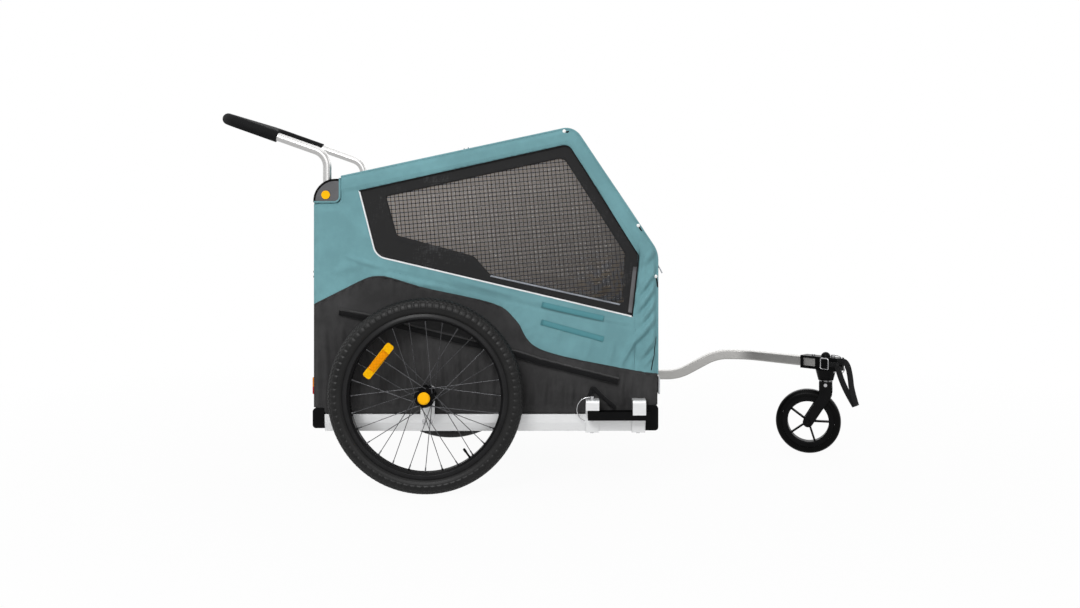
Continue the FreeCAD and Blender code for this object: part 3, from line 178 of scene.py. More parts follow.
def cloth_finish(colour, pitch, spread=0.12, heather=0, sheen=0.25, strength=0.35):
    """A plain weave with threads in all three directions, uneven dye and some sheen."""
    made = Finish(Specular_IOR_Level=0.06, Sheen_Weight=sheen, Sheen_Roughness=0.45)
    dark, light = tones(colour, spread)
    blotches = made.noise(9, 4)
    warp = made.noise(60, 2, made.stretched((14, 14, 1)))
    weft = made.noise(60, 2, made.stretched((1, 14, 14)))
    mixed = made.total(blotches, made.range(made.total(warp, weft, "MULTIPLY"), -heather, heather))
    mixed = made.total(mixed, made.range(made.noise(45, 4), -0.22, 0.22))
    made.join(made.shades(mixed, 0.35, dark, 0.65, light), "Base Color")
    threads = made.wave(pitch, 0.6, "X")
    for direction in ("Y", "Z"):
        threads = made.total(threads, made.wave(pitch, 0.6, direction))
    made.join(made.range(blotches, 0.78, 0.92), "Roughness")
    made.relief(made.total(threads, made.noise(400)), strength, 0.0004)
    return made.material


def solid_finish(colour, roughness, metallic=0, spread=0.1, spot=30, draw=(1, 1, 1),
                 grain=700, strength=0.12, edge=0.0006, shine=0.5):
    """Plastic, rubber or metal with uneven tone, grain and rounded edges."""
    made = Finish(Metallic=metallic, Specular_IOR_Level=shine)
    dark, light = tones(colour, spread)
    place = made.stretched(draw)
    spots = made.noise(spot, 4, place)
    made.join(made.shades(spots, 0.3, dark, 0.7, light), "Base Color")
    made.join(made.range(spots, max(roughness - 0.08, 0.02), roughness + 0.08), "Roughness")
    made.relief(made.noise(grain, 3, place), strength, 0.0003, edge)
    return made.material


def lens_finish(colour, low_colour=None, split_z=0):
    """A moulded reflector with small prisms, and a second colour below a level if it has one."""
    made = Finish(Roughness=0.25, Coat_Weight=0.01, Coat_Roughness=0.05, Specular_IOR_Level=0.03)
    cells = made.add("ShaderNodeTexVoronoi", {"Vector": made.place}, Scale=260, Randomness=0.15)
    dark, light = tones(colour, 0.28)
    tone = made.shades(cells.outputs["Distance"], 0.1, light, 0.7, dark)
    if low_colour:
        height = made.add("ShaderNodeSeparateXYZ", {"Vector": made.place}).outputs["Z"]
        above = made.add("ShaderNodeMath", {0: height})
        above.operation = "GREATER_THAN"
        above.inputs[1].default_value = split_z / 1000
        low_dark, low_light = tones(low_colour, 0.3)
        low_tone = made.shades(cells.outputs["Distance"], 0.1, low_light, 0.7, low_dark)
        pick = made.add("ShaderNodeMix")
        pick.data_type = "RGBA"
        made.tree.links.new(above.outputs["Value"], pick.inputs[0])
        made.tree.links.new(low_tone, pick.inputs[6])
        made.tree.links.new(tone, pick.inputs[7])
        tone = pick.outputs[2]
    made.join(tone, "Base Color")
    made.relief(cells.outputs["Distance"], 0.6, 0.0008, 0.0008)
    return made.material


def webbing_finish(colour, pitch, sheen=0.1):
    """Woven tape with slanting ribs."""
    made = Finish(Roughness=0.7, Sheen_Weight=sheen, Sheen_Roughness=0.4, Specular_IOR_Level=0.08)
    ribs = made.wave(pitch, 0.3, "DIAGONAL")
    dark, light = tones(colour, 0.3)
    made.join(made.shades(ribs, 0.2, dark, 0.8, light), "Base Color")
    made.relief(made.total(ribs, made.noise(900)), 0.5, 0.0006)
    return made.material


def thread_finish(colour):
    """Net thread with painted light: lighter at the rear and top, where more light comes through."""
    made = Finish(Roughness=0.7, Specular_IOR_Level=0.1)
    spots = made.noise(40, 3)
    places = made.add("ShaderNodeSeparateXYZ", {"Vector": made.place})
    # Painted light: the thread's tone runs lighter towards the rear and the top, and darker towards the front
    # and bottom.
    ahead = made.range(places.outputs["X"], 0.42, 0, -0.45, 0.22)
    up = made.range(places.outputs["Z"], 0, 0.4, 0.45, 0.85)
    tone = made.total(made.total(ahead, up), made.range(spots, 0, 0.2))
    made.join(made.shades(tone, 0.1, [c * 0.16 for c in colour], 0.85, colour), "Base Color")
    made.relief(spots, 0.2, 0.0003)
    return made.material


finishes = {
    "rail_aluminium": solid_finish((0.74, 0.745, 0.75), 0.32, 0.35, 0.04, 40, (1, 12, 30), 160),
    "tube_aluminium": solid_finish((0.47, 0.465, 0.46), 0.3, 1, 0.05, 60, (1, 8, 8), 300, 0.02, 0),
    "arm_aluminium": solid_finish((0.37, 0.365, 0.355), 0.48, 1, 0.08, 50, (1, 14, 14), 260),
    "black_plastic": solid_finish((0.0035, 0.0035, 0.0037), 0.34, spread=0.25, strength=0.2, shine=0.05),
    "grey_plastic": solid_finish((0.104, 0.104, 0.109), 0.45, spread=0.12, strength=0.15, shine=0.15),
    "yellow_plastic": solid_finish((0.97, 0.46, 0.004), 0.4, spread=0.05, shine=0.06),
    "amber_lens": lens_finish((0.98, 0.44, 0.003)),
    "amber_prisms": lens_finish((0.8, 0.27, 0.002)),
    "red_lens": lens_finish((0.72, 0.22, 0.02), (0.42, 0.02, 0.015), 262),
    "clear_lens": lens_finish((0.68, 0.7, 0.72)),
    "cloth_teal": cloth_finish((0.158, 0.325, 0.355), 0.0011, 0.07, 0.1, 0.1),
    "cloth_black": cloth_finish((0.044, 0.0434, 0.044), 0.0012, 0.16, 0.12, 0.06),
    "border": cloth_finish((0.046, 0.046, 0.047), 0.0016, 0.5, 0.6, 0.06),
    # The black wall cloth painted lighter: a painted highlight for the lit top edge of the ridge.
    "ridge_highlight_cloth": cloth_finish((0.07, 0.069, 0.07), 0.0012, 0.16, 0.12, 0.06),
    "net": solid_finish((0.022, 0.022, 0.024), 0.7, spread=0.3, spot=200, edge=0, shine=0.2),
    "net_warp": thread_finish((0.235, 0.245, 0.275)),
    "net_weft": thread_finish((0.33, 0.27, 0.205)),
    "wire": solid_finish((0.075, 0.075, 0.079), 0.28, 1, 0.2, spot=60, edge=0),
    "webbing": webbing_finish((0.009, 0.009, 0.0095), 0.0022),
    "teal_webbing": webbing_finish((0.085, 0.25, 0.28), 0.0026, 0.2),
    "floor_board": solid_finish((0.035, 0.035, 0.037), 0.6, spread=0.3, grain=400, strength=0.3),
    "black_metal": solid_finish(
        (0.005, 0.005, 0.0053), 0.27, spread=0.2, grain=500, strength=0.06, shine=0.05),
    "steel": solid_finish((0.46, 0.46, 0.47), 0.24, 1, 0.08, 80, grain=900, strength=0.05),
    "tyre_rubber": solid_finish(
        (0.0055, 0.0055, 0.0055), 0.42, spread=0.35, spot=24, grain=1400, strength=0.2, edge=0, shine=0.22),
    "small_rubber": solid_finish((0.003, 0.003, 0.003), 0.3, spread=0.3, grain=1400, edge=0, shine=0.04),
    "rim_track": solid_finish((0.014, 0.014, 0.0145), 0.3, spread=0.15, grain=900, strength=0.05, shine=0.1),
    "foam": solid_finish((0.008, 0.008, 0.0084), 0.7, spread=0.3, grain=1100, strength=0.5, shine=0.06),
    "white_piping": solid_finish((0.8, 0.81, 0.82), 0.3, spread=0.06, grain=1500, strength=0.3),
    "grey_tape": solid_finish((0.095, 0.095, 0.099), 0.5, spread=0.12, grain=900, strength=0.3, shine=0.3),
    "white_plastic": solid_finish((0.86, 0.86, 0.85), 0.4, spread=0.05),
    "zip": solid_finish((0.33, 0.35, 0.39), 0.4, spread=0.2),
    "teal_thread": solid_finish((0.085, 0.19, 0.21), 0.7, spread=0.15, edge=0),
    "black_thread": solid_finish((0.02, 0.02, 0.022), 0.7, spread=0.2, edge=0, shine=0.2),
}
for name, material in finishes.items():
    material.name = f"{name}_finish"

# The solids that keep their own shape, by finish
plain_slots = {
    "rail_aluminium": "side_rail_right side_rail_left tow_clamps_right tow_clamps_left axle_plates",
    "tube_aluminium": "handlebar_tube cage_hoop_right cage_hoop_left rear_uprights roof_crossbars "
                      "cross_tubes",
    "arm_aluminium": "tow_arm",
    "black_plastic": "rear_corner_caps front_corner_caps handle_hubs tow_receivers hitch_head caster_wheel "
                     "hub_right hub_left",
    "grey_plastic": "hub_covers",
    "yellow_plastic": "wheel_button_right wheel_button_left handle_button_right handle_button_left",
    "amber_lens": "spoke_reflector_right spoke_reflector_left",
    "red_lens": "rear_reflectors",
    "clear_lens": "front_reflectors",
    "floor_board": "floor_panel",
    "black_metal": "rim_right rim_left caster_fork",
    "wire": "spokes_right spokes_left",
    "steel": "wheel_axles handle_pivots lock_pin_right lock_pin_left hitch_pin hitch_buckle caster_stem "
             "caster_bolts frame_bolts",
    "small_rubber": "caster_tyre",
    "foam": "handle_grip",
}
for slot_name, names in plain_slots.items():
    for name in names.split():
        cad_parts[name].data.materials.clear()
        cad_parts[name].data.materials.append(finishes[slot_name])


# Ways to make a piece

def settle(obj, finish, body):
    """Links a new object, and gives it its finish and what it moves with."""
    bpy.context.scene.collection.objects.link(obj)
    obj.data.materials.append(finishes[finish])
    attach(obj, body)
    return obj


def piece(name, points, faces, finish, body="frame"):
    """A smooth mesh piece from points in metres."""
    mesh = bpy.data.meshes.new(name)
    mesh.from_pydata([tuple(p) for p in points], [], faces)
    mesh.polygons.foreach_set("use_smooth", [True] * len(mesh.polygons))
    mesh.update()
    return settle(bpy.data.objects.new(name, mesh), finish, body)


def curve(name, kind, runs):
    """A curve with a spline along each run of points."""
    data = bpy.data.curves.new(name, "CURVE")
    data.dimensions = "3D"
    for run in runs:
        spline = data.splines.new(kind)
        spline.points.add(len(run) - 1)
        for target, p in zip(spline.points, run):
            target.co = (*p, 1)
    return data


def line(name, runs, radius, finish, body="frame"):
    """Round piping or wire along one or more runs of points in metres."""
    data = curve(name, "POLY", runs)
    data.bevel_depth = radius / 1000
    data.bevel_resolution = 2
    data.use_fill_caps = True
    return settle(bpy.data.objects.new(name, data), finish, body)


def strips(count, rows, closed):
    """Faces between lines of points, count lines of so many rows, joined up to the first line if closed."""
    faces = []
    for i in range(count if closed else count - 1):
        for j in range(rows - 1):
            a = i * rows + j
            b = (i + 1) % count * rows + j
            faces.append((a, b, b + 1, a + 1))
    return faces


def turned(faces):
    """Four-sided faces with their outer side on the other side."""
    return [(a, d, c, b) for a, b, c, d in faces]


def headings(path):
    """The direction of a line at each of its points."""
    ahead = [(b - a).normalized() for a, b in zip(path, path[1:])]
    return ahead + ahead[-1:]


def length_of(path):
    return sum((Vector(b) - Vector(a)).length for a, b in zip(path, path[1:]))


def lathe(profile, centre, axis, count):
    """Points and faces of a profile of (offset, radius) turned about an axis."""
    axis = Vector(axis).normalized()
    across = axis.orthogonal().normalized()
    other = axis.cross(across)
    points = []
    for i in range(count):
        angle = 2 * math.pi * i / count
        out = across * math.cos(angle) + other * math.sin(angle)
        points += [centre + (axis * offset + out * radius) / 1000 for offset, radius in profile]
    return points, strips(count, len(profile), True)


def merged(parts):
    """Several sets of points and faces as one."""
    points = []
    faces = []
    for more_points, more_faces in parts:
        start = len(points)
        points += more_points
        faces += [tuple(start + i for i in face) for face in more_faces]
    return points, faces


def stitches(path, normals, length=3.2, space=1.6, width=0.45, height=0.5):
    """Points and faces of a row of sewn stitches along points in metres."""
    parts = []
    travelled = 0
    for p, q, n in zip(path, path[1:], normals):
        run = (q - p).length * 1000
        if run == 0:
            continue
        ahead = (q - p).normalized()
        across = n.cross(ahead)
        while travelled < run:
            start = p + ahead * (travelled / 1000)
            end = start + ahead * (length / 1000)
            middle = (start + end) / 2 + n * (height / 1000)
            wide = across * (width / 1000)
            parts.append((
                [start, middle - wide, middle + n * (height / 2000), middle + wide, end],
                [(0, 1, 2), (0, 2, 3), (4, 2, 1), (4, 3, 2)]))
            travelled += length + space
        travelled -= run
    return merged(parts)


def ribbon(path, across, outs, width, thickness):
    """Points and faces of a flat band, from its middle line, and its width's and its face's directions."""
    if isinstance(across, Vector):
        across = [across] * len(path)
    if isinstance(outs, Vector):
        outs = [outs] * len(path)
    points = []
    for p, a, n in zip(path, across, outs):
        side = a * (width / 2000)
        rise = n * (thickness / 2000)
        lip = side * 0.82
        points += [p - side, p - lip + rise, p + lip + rise, p + side, p + lip - rise, p - lip - rise]
    ring = 6
    faces = []
    for i in range(len(path) - 1):
        for j in range(ring):
            a = i * ring + j
            b = i * ring + (j + 1) % ring
            faces.append((a, b, b + ring, a + ring))
    faces.append(tuple(range(ring)))
    faces.append(tuple(len(points) - 1 - j for j in range(ring)))
    return points, faces


def band(name, path, across, outs, width, thickness, finish, body="frame"):
    """A flat band as a piece."""
    return piece(name, *ribbon(path, across, outs, width, thickness), finish, body)


def rounded(points, rounds, step, closed=True):
    """A side-view outline with arcs at its corners, as close points."""
    bends = 7
    corners = []
    count = len(points)
    for i in range(count):
        here = Vector(points[i])
        if rounds[i] == 0 or (not closed and i in (0, count - 1)):
            corners.append([here])
            continue
        before = (Vector(points[i - 1]) - here).normalized()
        after = (Vector(points[(i + 1) % count]) - here).normalized()
        half = before.angle(after) / 2
        reach = rounds[i] / math.tan(half)
        centre = here + (before + after).normalized() * (rounds[i] / math.sin(half))
        first = here + before * reach - centre
        last = here + after * reach - centre
        arc = []
        for k in range(bends + 1):
            blend = first.lerp(last, k / bends)
            arc.append(centre + blend.normalized() * rounds[i])
        corners.append(arc)
    outline = []
    for i in range(count):
        outline += corners[i]
        if i == count - 1 and not closed:
            break
        a = corners[i][-1]
        b = corners[(i + 1) % count][0]
        parts = max(1, round((b - a).length / step))
        outline += [a.lerp(b, k / parts) for k in range(1, parts)]
    return [(p.x, p.y) for p in outline]


def straight(points, step):
    """An open line with sharp corners, as close points."""
    return rounded(points, [0] * len(points), step, False)


def smooth_line(points, parts):
    """A smooth line through side-view points."""
    padded = [points[0]] + points + [points[-1]]
    line_points = []
    for a, b, c, d in zip(padded, padded[1:], padded[2:], padded[3:]):
        for k in range(parts):
            t = k / parts
            line_points.append(tuple(
                ((-t + 2 * t ** 2 - t ** 3) * p + (2 - 5 * t ** 2 + 3 * t ** 3) * q
                 + (t + 4 * t ** 2 - 3 * t ** 3) * r + (t ** 3 - t ** 2) * s) / 2
                for p, q, r, s in zip(a, b, c, d)))
    return line_points + [points[-1]]


def away(x, z, path):
    """The distance of points from a side-view line, and how far along it they lie, from 0 to 1."""
    nearest = np.full(x.shape, 1e9)
    share = np.zeros(x.shape)
    for i, ((x0, z0), (x1, z1)) in enumerate(zip(path, path[1:])):
        dx = x1 - x0
        dz = z1 - z0
        t = np.clip(((x - x0) * dx + (z - z0) * dz) / max(dx * dx + dz * dz, 1e-9), 0, 1)
        gone = np.hypot(x - x0 - t * dx, z - z0 - t * dz)
        better = gone < nearest
        nearest = np.where(better, gone, nearest)
        share = np.where(better, (i + t) / (len(path) - 1), share)
    return nearest, share


def enclosed(x, z, loop):
    """Which points lie inside a closed side-view outline."""
    hit = np.zeros(x.shape, bool)
    for (x0, z0), (x1, z1) in zip(loop, loop[1:] + loop[:1]):
        if z0 == z1:
            continue
        crossing = x0 + (x1 - x0) * (z - z0) / (z1 - z0)
        hit ^= ((z0 > z) != (z1 > z)) & (x < crossing)
    return hit


def step_up(value, low, high):
    """A smooth rise from 0 at low to 1 at high."""
    t = np.clip((value - low) / (high - low), 0, 1)
    return t * t * (3 - 2 * t)


def plateau(value, low, full, fade, end):
    """A smooth rise from 0 at low to 1 at full, and down again from fade to end."""
    return step_up(value, low, full) * (1 - step_up(value, fade, end))


def ripple(x, z, size):
    """Slow unevenness of stretched cloth, from -1 to 1."""
    return (np.sin(x / size + z / (2.3 * size)) + np.sin(x / (1.7 * size) - z / (1.3 * size) + 1.3)
            + np.sin(z / (0.8 * size) + x / (3.1 * size) + 2.1)) / 3


def fold(x, z, start, end, width, height):
    """A crease that stands out along a line and fades at its ends."""
    gone, share = away(x, z, [start, end])
    return height * np.exp(-(gone / width) ** 2) * (1 - (2 * share - 1) ** 2 * 0.9)


def filled(outline, holes, pitch):
    """Side-view points and triangles of a cut cloth."""
    loops = [outline] + holes
    xs = [p[0] for p in outline]
    zs = [p[1] for p in outline]
    row = pitch * math.sqrt(3) / 2
    grid = []
    for j in range(int((max(zs) - min(zs)) / row) + 1):
        for i in range(int((max(xs) - min(xs)) / pitch) + 1):
            grid.append((min(xs) + (i + j % 2 / 2) * pitch, min(zs) + j * row))
    x, z = np.array(grid).T
    keep = enclosed(x, z, outline)
    for loop in loops:
        keep &= away(x, z, loop + loop[:1])[0] > pitch * 0.45
    for loop in holes:
        keep &= ~enclosed(x, z, loop)
    points = []
    edges = []
    for loop in loops:
        start = len(points)
        points += [Vector(p) for p in loop]
        edges += [(start + i, start + (i + 1) % len(loop)) for i in range(len(loop))]
    points += [Vector(p) for p in zip(x[keep], z[keep])]
    found = geometry.delaunay_2d_cdt(points, edges, [], 1, 0.001)
    flat = np.array([tuple(p) for p in found[0]])
    middle = np.array([flat[list(face)].mean(axis=0) for face in found[2]])
    inside = enclosed(middle[:, 0], middle[:, 1], outline)
    for loop in holes:
        inside &= ~enclosed(middle[:, 0], middle[:, 1], loop)
    return flat, [tuple(face) for face, kept in zip(found[2], inside) if kept]


cloth_thickness = 0.0012


def declared(obj):
    """Gives a piece of stretched cloth its thickness.

    The stated area is the mesh's own, raised to a least share of the flat size, and at most all of it.
    """
    solid = obj.modifiers.new("thickness", "SOLIDIFY")
    solid.thickness = cloth_thickness
    solid.offset = 0


# Safety strap: two webbing legs that hang from the hitch head and meet at a sewn tip

strap_width = 19
strap_thickness = 1.8
strap_facing = Vector((0.25, -0.97, 0))
tail_size = (14, 2)
upper_leg = [
    (1162, 75.5, 277), (1175, 69, 283), (1186, 58, 273), (1190, 44, 240),
    (1189, 27, 204), (1197, 6, 163),
]
lower_leg = [
    (1160, 75, 266), (1164, 66, 244), (1171, 48, 216), (1180, 28, 190),
    (1194, 6, 160),
]
tail_ends = [(1138, 96, 269), (1159.5, 74.5, 269)]


def spline_points(route):
    """Points of the smooth line that a route controls."""
    data = curve("route", "NURBS", [route])
    data.resolution_u = 12
    data.splines[0].order_u = 3
    data.splines[0].use_endpoint_u = True
    holder = bpy.data.objects.new("route", data)
    mesh = bpy.data.meshes.new_from_object(holder)
    found = [v.co.copy() for v in mesh.vertices]
    bpy.data.objects.remove(holder)
    return found


for strap_name, leg in (("safety_strap_upper", upper_leg), ("safety_strap_lower", lower_leg)):
    path = spline_points([at(*p) for p in leg])
    ahead = headings(path)
    wide = [d.cross(strap_facing).normalized() for d in ahead]
    outs = [w.cross(d) for w, d in zip(wide, ahead)]
    obj = band(strap_name, path, wide, outs, strap_width, strap_thickness, "webbing")
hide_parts("safety_strap")
tail_path = [at(*tail_ends[0]).lerp(at(*tail_ends[1]), i / 4) for i in range(5)]
tail_out = Vector((-1, -1, 0)).normalized()
band("strap_tail", tail_path, Vector((0, 0, 1)), tail_out, *tail_size, "webbing")


# Side walls

seam_points = on_side(seam_shares)
seam = smooth_line(seam_points, 8)
seam_rear = seam_points[0][1]
seam_front = seam_points[-1][1]
window_outline = rounded(on_side(window_shares), window_rounds, 8)
mesh_outline = rounded(on_side(mesh_shares), mesh_rounds, 8)
window_loop = window_outline + window_outline[:1]
mesh_loop = mesh_outline + mesh_outline[:1]
roof_edge = rounded(roof_line + [(front_x, seam_front)], [0, apex_round, elbow_round, 0], 8, False)
upper_outline = rounded(
    [(rear_x, seam_rear), (rear_x, notch_z), (notch_x, notch_z)] + roof_line + [(front_x, seam_front)],
    [0, 0, 10, 0, apex_round, elbow_round, 0], 8, False) + seam[-2:0:-1]
ridge_line = on_side(ridge_shares)
front_folds = [
    ((541, 496), (599, 582), 7.5, 8.5), ((536, 452), (599, 544), 8, 9.5),
    ((545, 420), (598, 500), 7, 8), ((530, 372), (597, 456), 8, 9),
    ((500, 318), (543, 398), 7, 7.5), ((548, 335), (596, 402), 8, 8),
    ((560, 318), (590, 356), 6, 5), ((560, 584), (596, 630), 8, 5.5),
]
rear_folds = [
    ((-217, 606), (-120, 574), 6, 5.5), ((-250, 560), (-160, 590), 12, 4),
    ((-160, 560), (60, 520), 8, 4.2), ((260, 492), (520, 424), 7, 4),
    ((-235, 735), (-150, 640), 16, 4), ((60, 545), (250, 495), 6, 4.2),
    ((330, 360), (352, 440), 9, 4), ((410, 335), (428, 400), 9, 3.6),
    ((470, 320), (484, 390), 8, 4), ((-60, 525), (20, 530), 7, 3),
]
skirt_folds = [
    ((508, 302), (496, 222), 7, 8.5), ((530, 298), (519, 228), 7, 7.5),
    ((552, 296), (545, 230), 8, 6), ((576, 296), (572, 226), 8, 5),
    ((-238, 470), (-236, 404), 7, 4.5), ((-96, 548), (-90, 500), 7, 4.5),
    ((205, 470), (214, 400), 8, 5.5), ((240, 452), (246, 380), 7, 4.5),
    ((150, 232), (158, 286), 8, 5), ((182, 236), (192, 282), 8, 5),
    ((262, 226), (274, 296), 8, 6), ((296, 222), (310, 286), 8, 6),
    ((332, 218), (346, 280), 8, 6), ((366, 218), (380, 272), 8, 5),
    ((20, 240), (26, 290), 9, 4), ((-60, 240), (-70, 300), 9, 4),
]
front_seam = [(551, 640), (548, 560), (541, 430), (536, 305)]
low_seam = [(-100, 566), (150, 503), (300, 467), (526, 421)]


def rear_roll(x, z):
    """How far a side wall swells just ahead of its rear edge, where it rolls round to the back."""
    return 7 * (1 - step_up(x, rear_x + 30, rear_x + 130)) * step_up(notch_z - z, 0, 25)


def front_roll(x):
    """How far a side wall swells near its front edge."""
    return 5 * step_up(x, 515, 560)


def end_fade(x):
    """A wall lies flat at its rear and front edges."""
    return plateau(x, rear_x, rear_x + 15, front_x - 12, front_x)


def creased(folds):
    """Folds with a valley along the lower side of each."""
    pairs = []
    for start, end, width, height in folds:
        pairs.append((start, end, width, height))
        pairs.append((*offset_line([start, end], 1.6 * width), width, -0.7 * height))
    return pairs


def upper_rise(x, z):
    """How far the teal wall stands out from its flat plane."""
    from_window = away(x, z, window_loop)[0]
    rise = 2.2 + 1.8 * ripple(x, z, 40) + rear_roll(x, z) + front_roll(x) * step_up(from_window, 0, 16)
    for crease in creased(front_folds) + rear_folds:
        rise = rise + fold(x, z, *crease)
    from_edge = away(x, z, roof_edge)[0]
    rise = rise + 2.2 * plateau(from_edge, 0, 4, 36, 39)
    from_seam, share = away(x, z, seam)
    rise = rise + 0.9 * np.sin(share * 250) * np.exp(-from_seam / 16)
    rise = rise - 2.4 * np.exp(-(away(x, z, front_seam)[0] / 5) ** 2)
    rise = rise - 1.6 * np.exp(-(away(x, z, low_seam)[0] / 5) ** 2)
    rise = rise + 0.7 * np.sin(x / 6 + z / 9) * np.exp(-from_window / 14)
    return np.maximum(rise, 0.1) * step_up(from_edge, 0, 13) * end_fade(x)


def lower_rise(x, z):
    """How far the black wall stands out, with its padded ridge and its upright puckers."""
    rise = 1.6 + 1.3 * ripple(x, z, 34) + rear_roll(x, z) + front_roll(x)
    along = np.interp(x, [p[0] for p in ridge_line], [p[1] for p in ridge_line])
    above = z - along - 11
    lip = np.where(above > 0, np.exp(-(above / 16) ** 2), 1 - step_up(-above, 4, 24))
    first_x = ridge_line[0][0]
    last_x = ridge_line[-1][0]
    rise = rise + 11 * lip * plateau(x, first_x - 6, first_x + 4, last_x - 4, last_x + 6)
    below = step_up(z, 200, 225) * step_up(along - z, 16, 60)
    pleats = np.sin(x / 3.6 + 1.2 * np.sin(z / 60)) + np.sin(x / 6.7 + z / 130 + 0.7)
    rise = rise + 2.4 * below * (pleats + 1.2)
    for crease in skirt_folds:
        rise = rise + fold(x, z, *crease)
    from_seam = away(x, z, seam)[0]
    rise = rise + 2 * (1 + np.sin(x / 4.2 + 0.9 * np.sin(x / 37))) * np.exp(-from_seam / 26)
    rise = rise + 1.2 * plateau(z, 196, 199, 210, 212)
    return np.maximum(rise, 0) * step_up(z, 194, 199) * end_fade(x)


def net_rise(x, z):
    """The net lies a little behind its border, and is slack in its front lower corner."""
    slack = np.exp(-(((x - 490) / 60) ** 2 + ((z - 500) / 60) ** 2))
    return 0.6 + 1.5 * ripple(x, z, 60) + 6 * slack * np.sin(x / 8 + z / 7)


def border_rise(x, z):
    from_window = away(x, z, window_loop)[0]
    from_mesh = away(x, z, mesh_loop)[0]
    hem = plateau(from_mesh, 1, 3, 12, 14)
    return 1.4 + 0.9 * ripple(x, z, 46) * step_up(from_window, 0, 20) + 0.9 * hem


def on_wall(points, rise, side, lift):
    """Side-view points set on a wall's outer face, in metres."""
    x, z = np.array(points).T
    height = rise(x, z)
    return [at(a, side * (cloth_y + h + lift), c) for a, c, h in zip(x, z, height)]


def wall(name, outline, holes, pitch, rise, side, finish):
    """A side wall's cloth."""
    flat, faces = filled(outline, holes, pitch)
    points = on_wall(flat, rise, side, 0)
    if side > 0:
        faces = [face[::-1] for face in faces]
    return piece(name, points, faces, finish)


def wall_stitches(name, path, rise, side, finish):
    """A row of stitches on a side wall."""
    points = on_wall(path, rise, side, 0.6)
    return piece(name, *stitches(points, [Vector((0, side, 0))] * len(points)), finish)


def flat_strip(name, ends, steps, rise, side, lift, width, thickness, finish):
    """A straight strip on a side wall."""
    start, end = (Vector(p) for p in ends)
    path = on_wall([tuple(start.lerp(end, i / steps)) for i in range(steps + 1)], rise, side, lift)
    out = Vector((0, side, 0))
    band(name, path, out.cross((path[-1] - path[0]).normalized()), out, width, thickness, finish)


def tangents(path):
    """A side-view line's direction at each point, from the point before to the point after."""
    padded = [Vector(p) for p in (path[0], *path, path[-1])]
    return [(after - before).normalized() for before, after in zip(padded, padded[2:])]


def offset_line(path, distance):
    """A side-view line moved to its right."""
    return [(x + d.y * distance, z - d.x * distance) for (x, z), d in zip(path, tangents(path))]


net_pitch = 2.65
net_heavy = 4
net_slant = math.radians(5)
net_step = 22


def net_cords(side):
    """Points and faces of the net's light threads both ways, and of the dark bars at every fourth one."""
    centre = Vector(np.mean(mesh_outline, axis=0))
    loop = [Vector(p) + (Vector(p) - centre).normalized() * 5 for p in mesh_outline]
    groups = {"net_weft": [], "net_warp": [], "net": []}
    for turn, thread in ((net_slant, "net_weft"), (net_slant + math.pi / 2, "net_warp")):
        ahead = Vector((math.cos(turn), math.sin(turn)))
        across = Vector((-ahead.y, ahead.x))
        offs = [p.dot(across) for p in loop]
        for k in range(math.ceil(min(offs) / net_pitch), math.floor(max(offs) / net_pitch) + 1):
            level = k * net_pitch
            cuts = []
            for i, p in enumerate(loop):
                q = loop[(i + 1) % len(loop)]
                a = p.dot(across) - level
                b = q.dot(across) - level
                if (a > 0) != (b > 0):
                    cuts.append(p.lerp(q, a / (a - b)).dot(ahead))
            cuts.sort()
            dark = k % net_heavy == 0
            half = 1.15 if dark else 0.85
            for low, high in zip(cuts[::2], cuts[1::2]):
                steps = max(1, round((high - low) / net_step))
                middle = [ahead * (low + (high - low) * s / steps) + across * level for s in range(steps + 1)]
                points = []
                for shift, lift in ((half, -1.2), (0, -1.2 + half * 0.8), (-half, -1.2)):
                    points += on_wall([tuple(p + across * shift) for p in middle], net_rise, side, lift)
                faces = turned(strips(3, steps + 1, False))
                groups["net" if dark else thread].append((points, faces))
    return {name: merged(parts) for name, parts in groups.items()}


def zip_teeth(path, rise, side, lift):
    """Points and faces of a zip's two rows of teeth along a side-view line."""
    parts = []
    pitch = 3
    for (x0, z0), (x1, z1) in zip(path, path[1:]):
        ahead = Vector((x1 - x0, z1 - z0))
        count = int(ahead.length / pitch)
        ahead.normalize()
        across = Vector((-ahead.y, ahead.x))
        for i in range(count):
            for row in (-1, 1):
                centre = Vector((x0, z0)) + ahead * (i + row / 4) * pitch + across * row * 0.9
                corners = []
                for a, c in ((-1.1, -1.3), (1.1, -1.3), (1.1, 1.3), (-1.1, 1.3)):
                    corners.append(tuple(centre + ahead * a + across * c))
                base = on_wall(corners, rise, side, lift)
                top = on_wall([tuple(Vector(c).lerp(centre, 0.35)) for c in corners], rise, side, lift + 1.3)
                parts.append((base + top, [
                    (4, 5, 6, 7), (0, 1, 5, 4), (1, 2, 6, 5), (2, 3, 7, 6), (3, 0, 4, 7)]))
    return merged(parts)


rear_cap_x = -267.5
front_cap_x = 565.5
skirt_low_z = 194.6
skirt_corners = [
    (rear_x, seam_rear - seam_gap), (rear_x, rear_low_z), (rear_cap_x, rear_low_z),
    (rear_cap_x, skirt_low_z), (front_cap_x, skirt_low_z), (front_cap_x, front_low_z),
    (front_x, front_low_z), (front_x, seam_front - seam_gap),
]
skirt_outline = straight(skirt_corners, 8) + [(x, z - seam_gap) for x, z in seam[-2:0:-1]]
ridge_lift = 13.5
lip_y = 307.5
ridge_band_size = (15, 1.6)
notch_lip_size = (8, 4.6)
tape_size = (11, 1.6)
sewn_strip_size = (15, 2.6)
window_corners = on_side(window_shares)
zip_line = [(164, 553), (503, 478)]
tape_ends = [(539, 577), (525.5, 458)]
dark_edge = rounded(window_corners[:4], [0, 24, 12, 0], 8, False)
piping_corner = rounded([window_corners[i] for i in (0, 4, 3)], [0, 38, 0], 8, False)
front_zip = straight([(593, 395), (588, 350), (580.5, 308)], 6)
notch_edge = rounded(
    [(rear_x, notch_z + 0.5), (notch_x - 2, notch_z + 0.5), (notch_x - 2, notch_top - 3)],
    [0, 14, 0], 4, False)
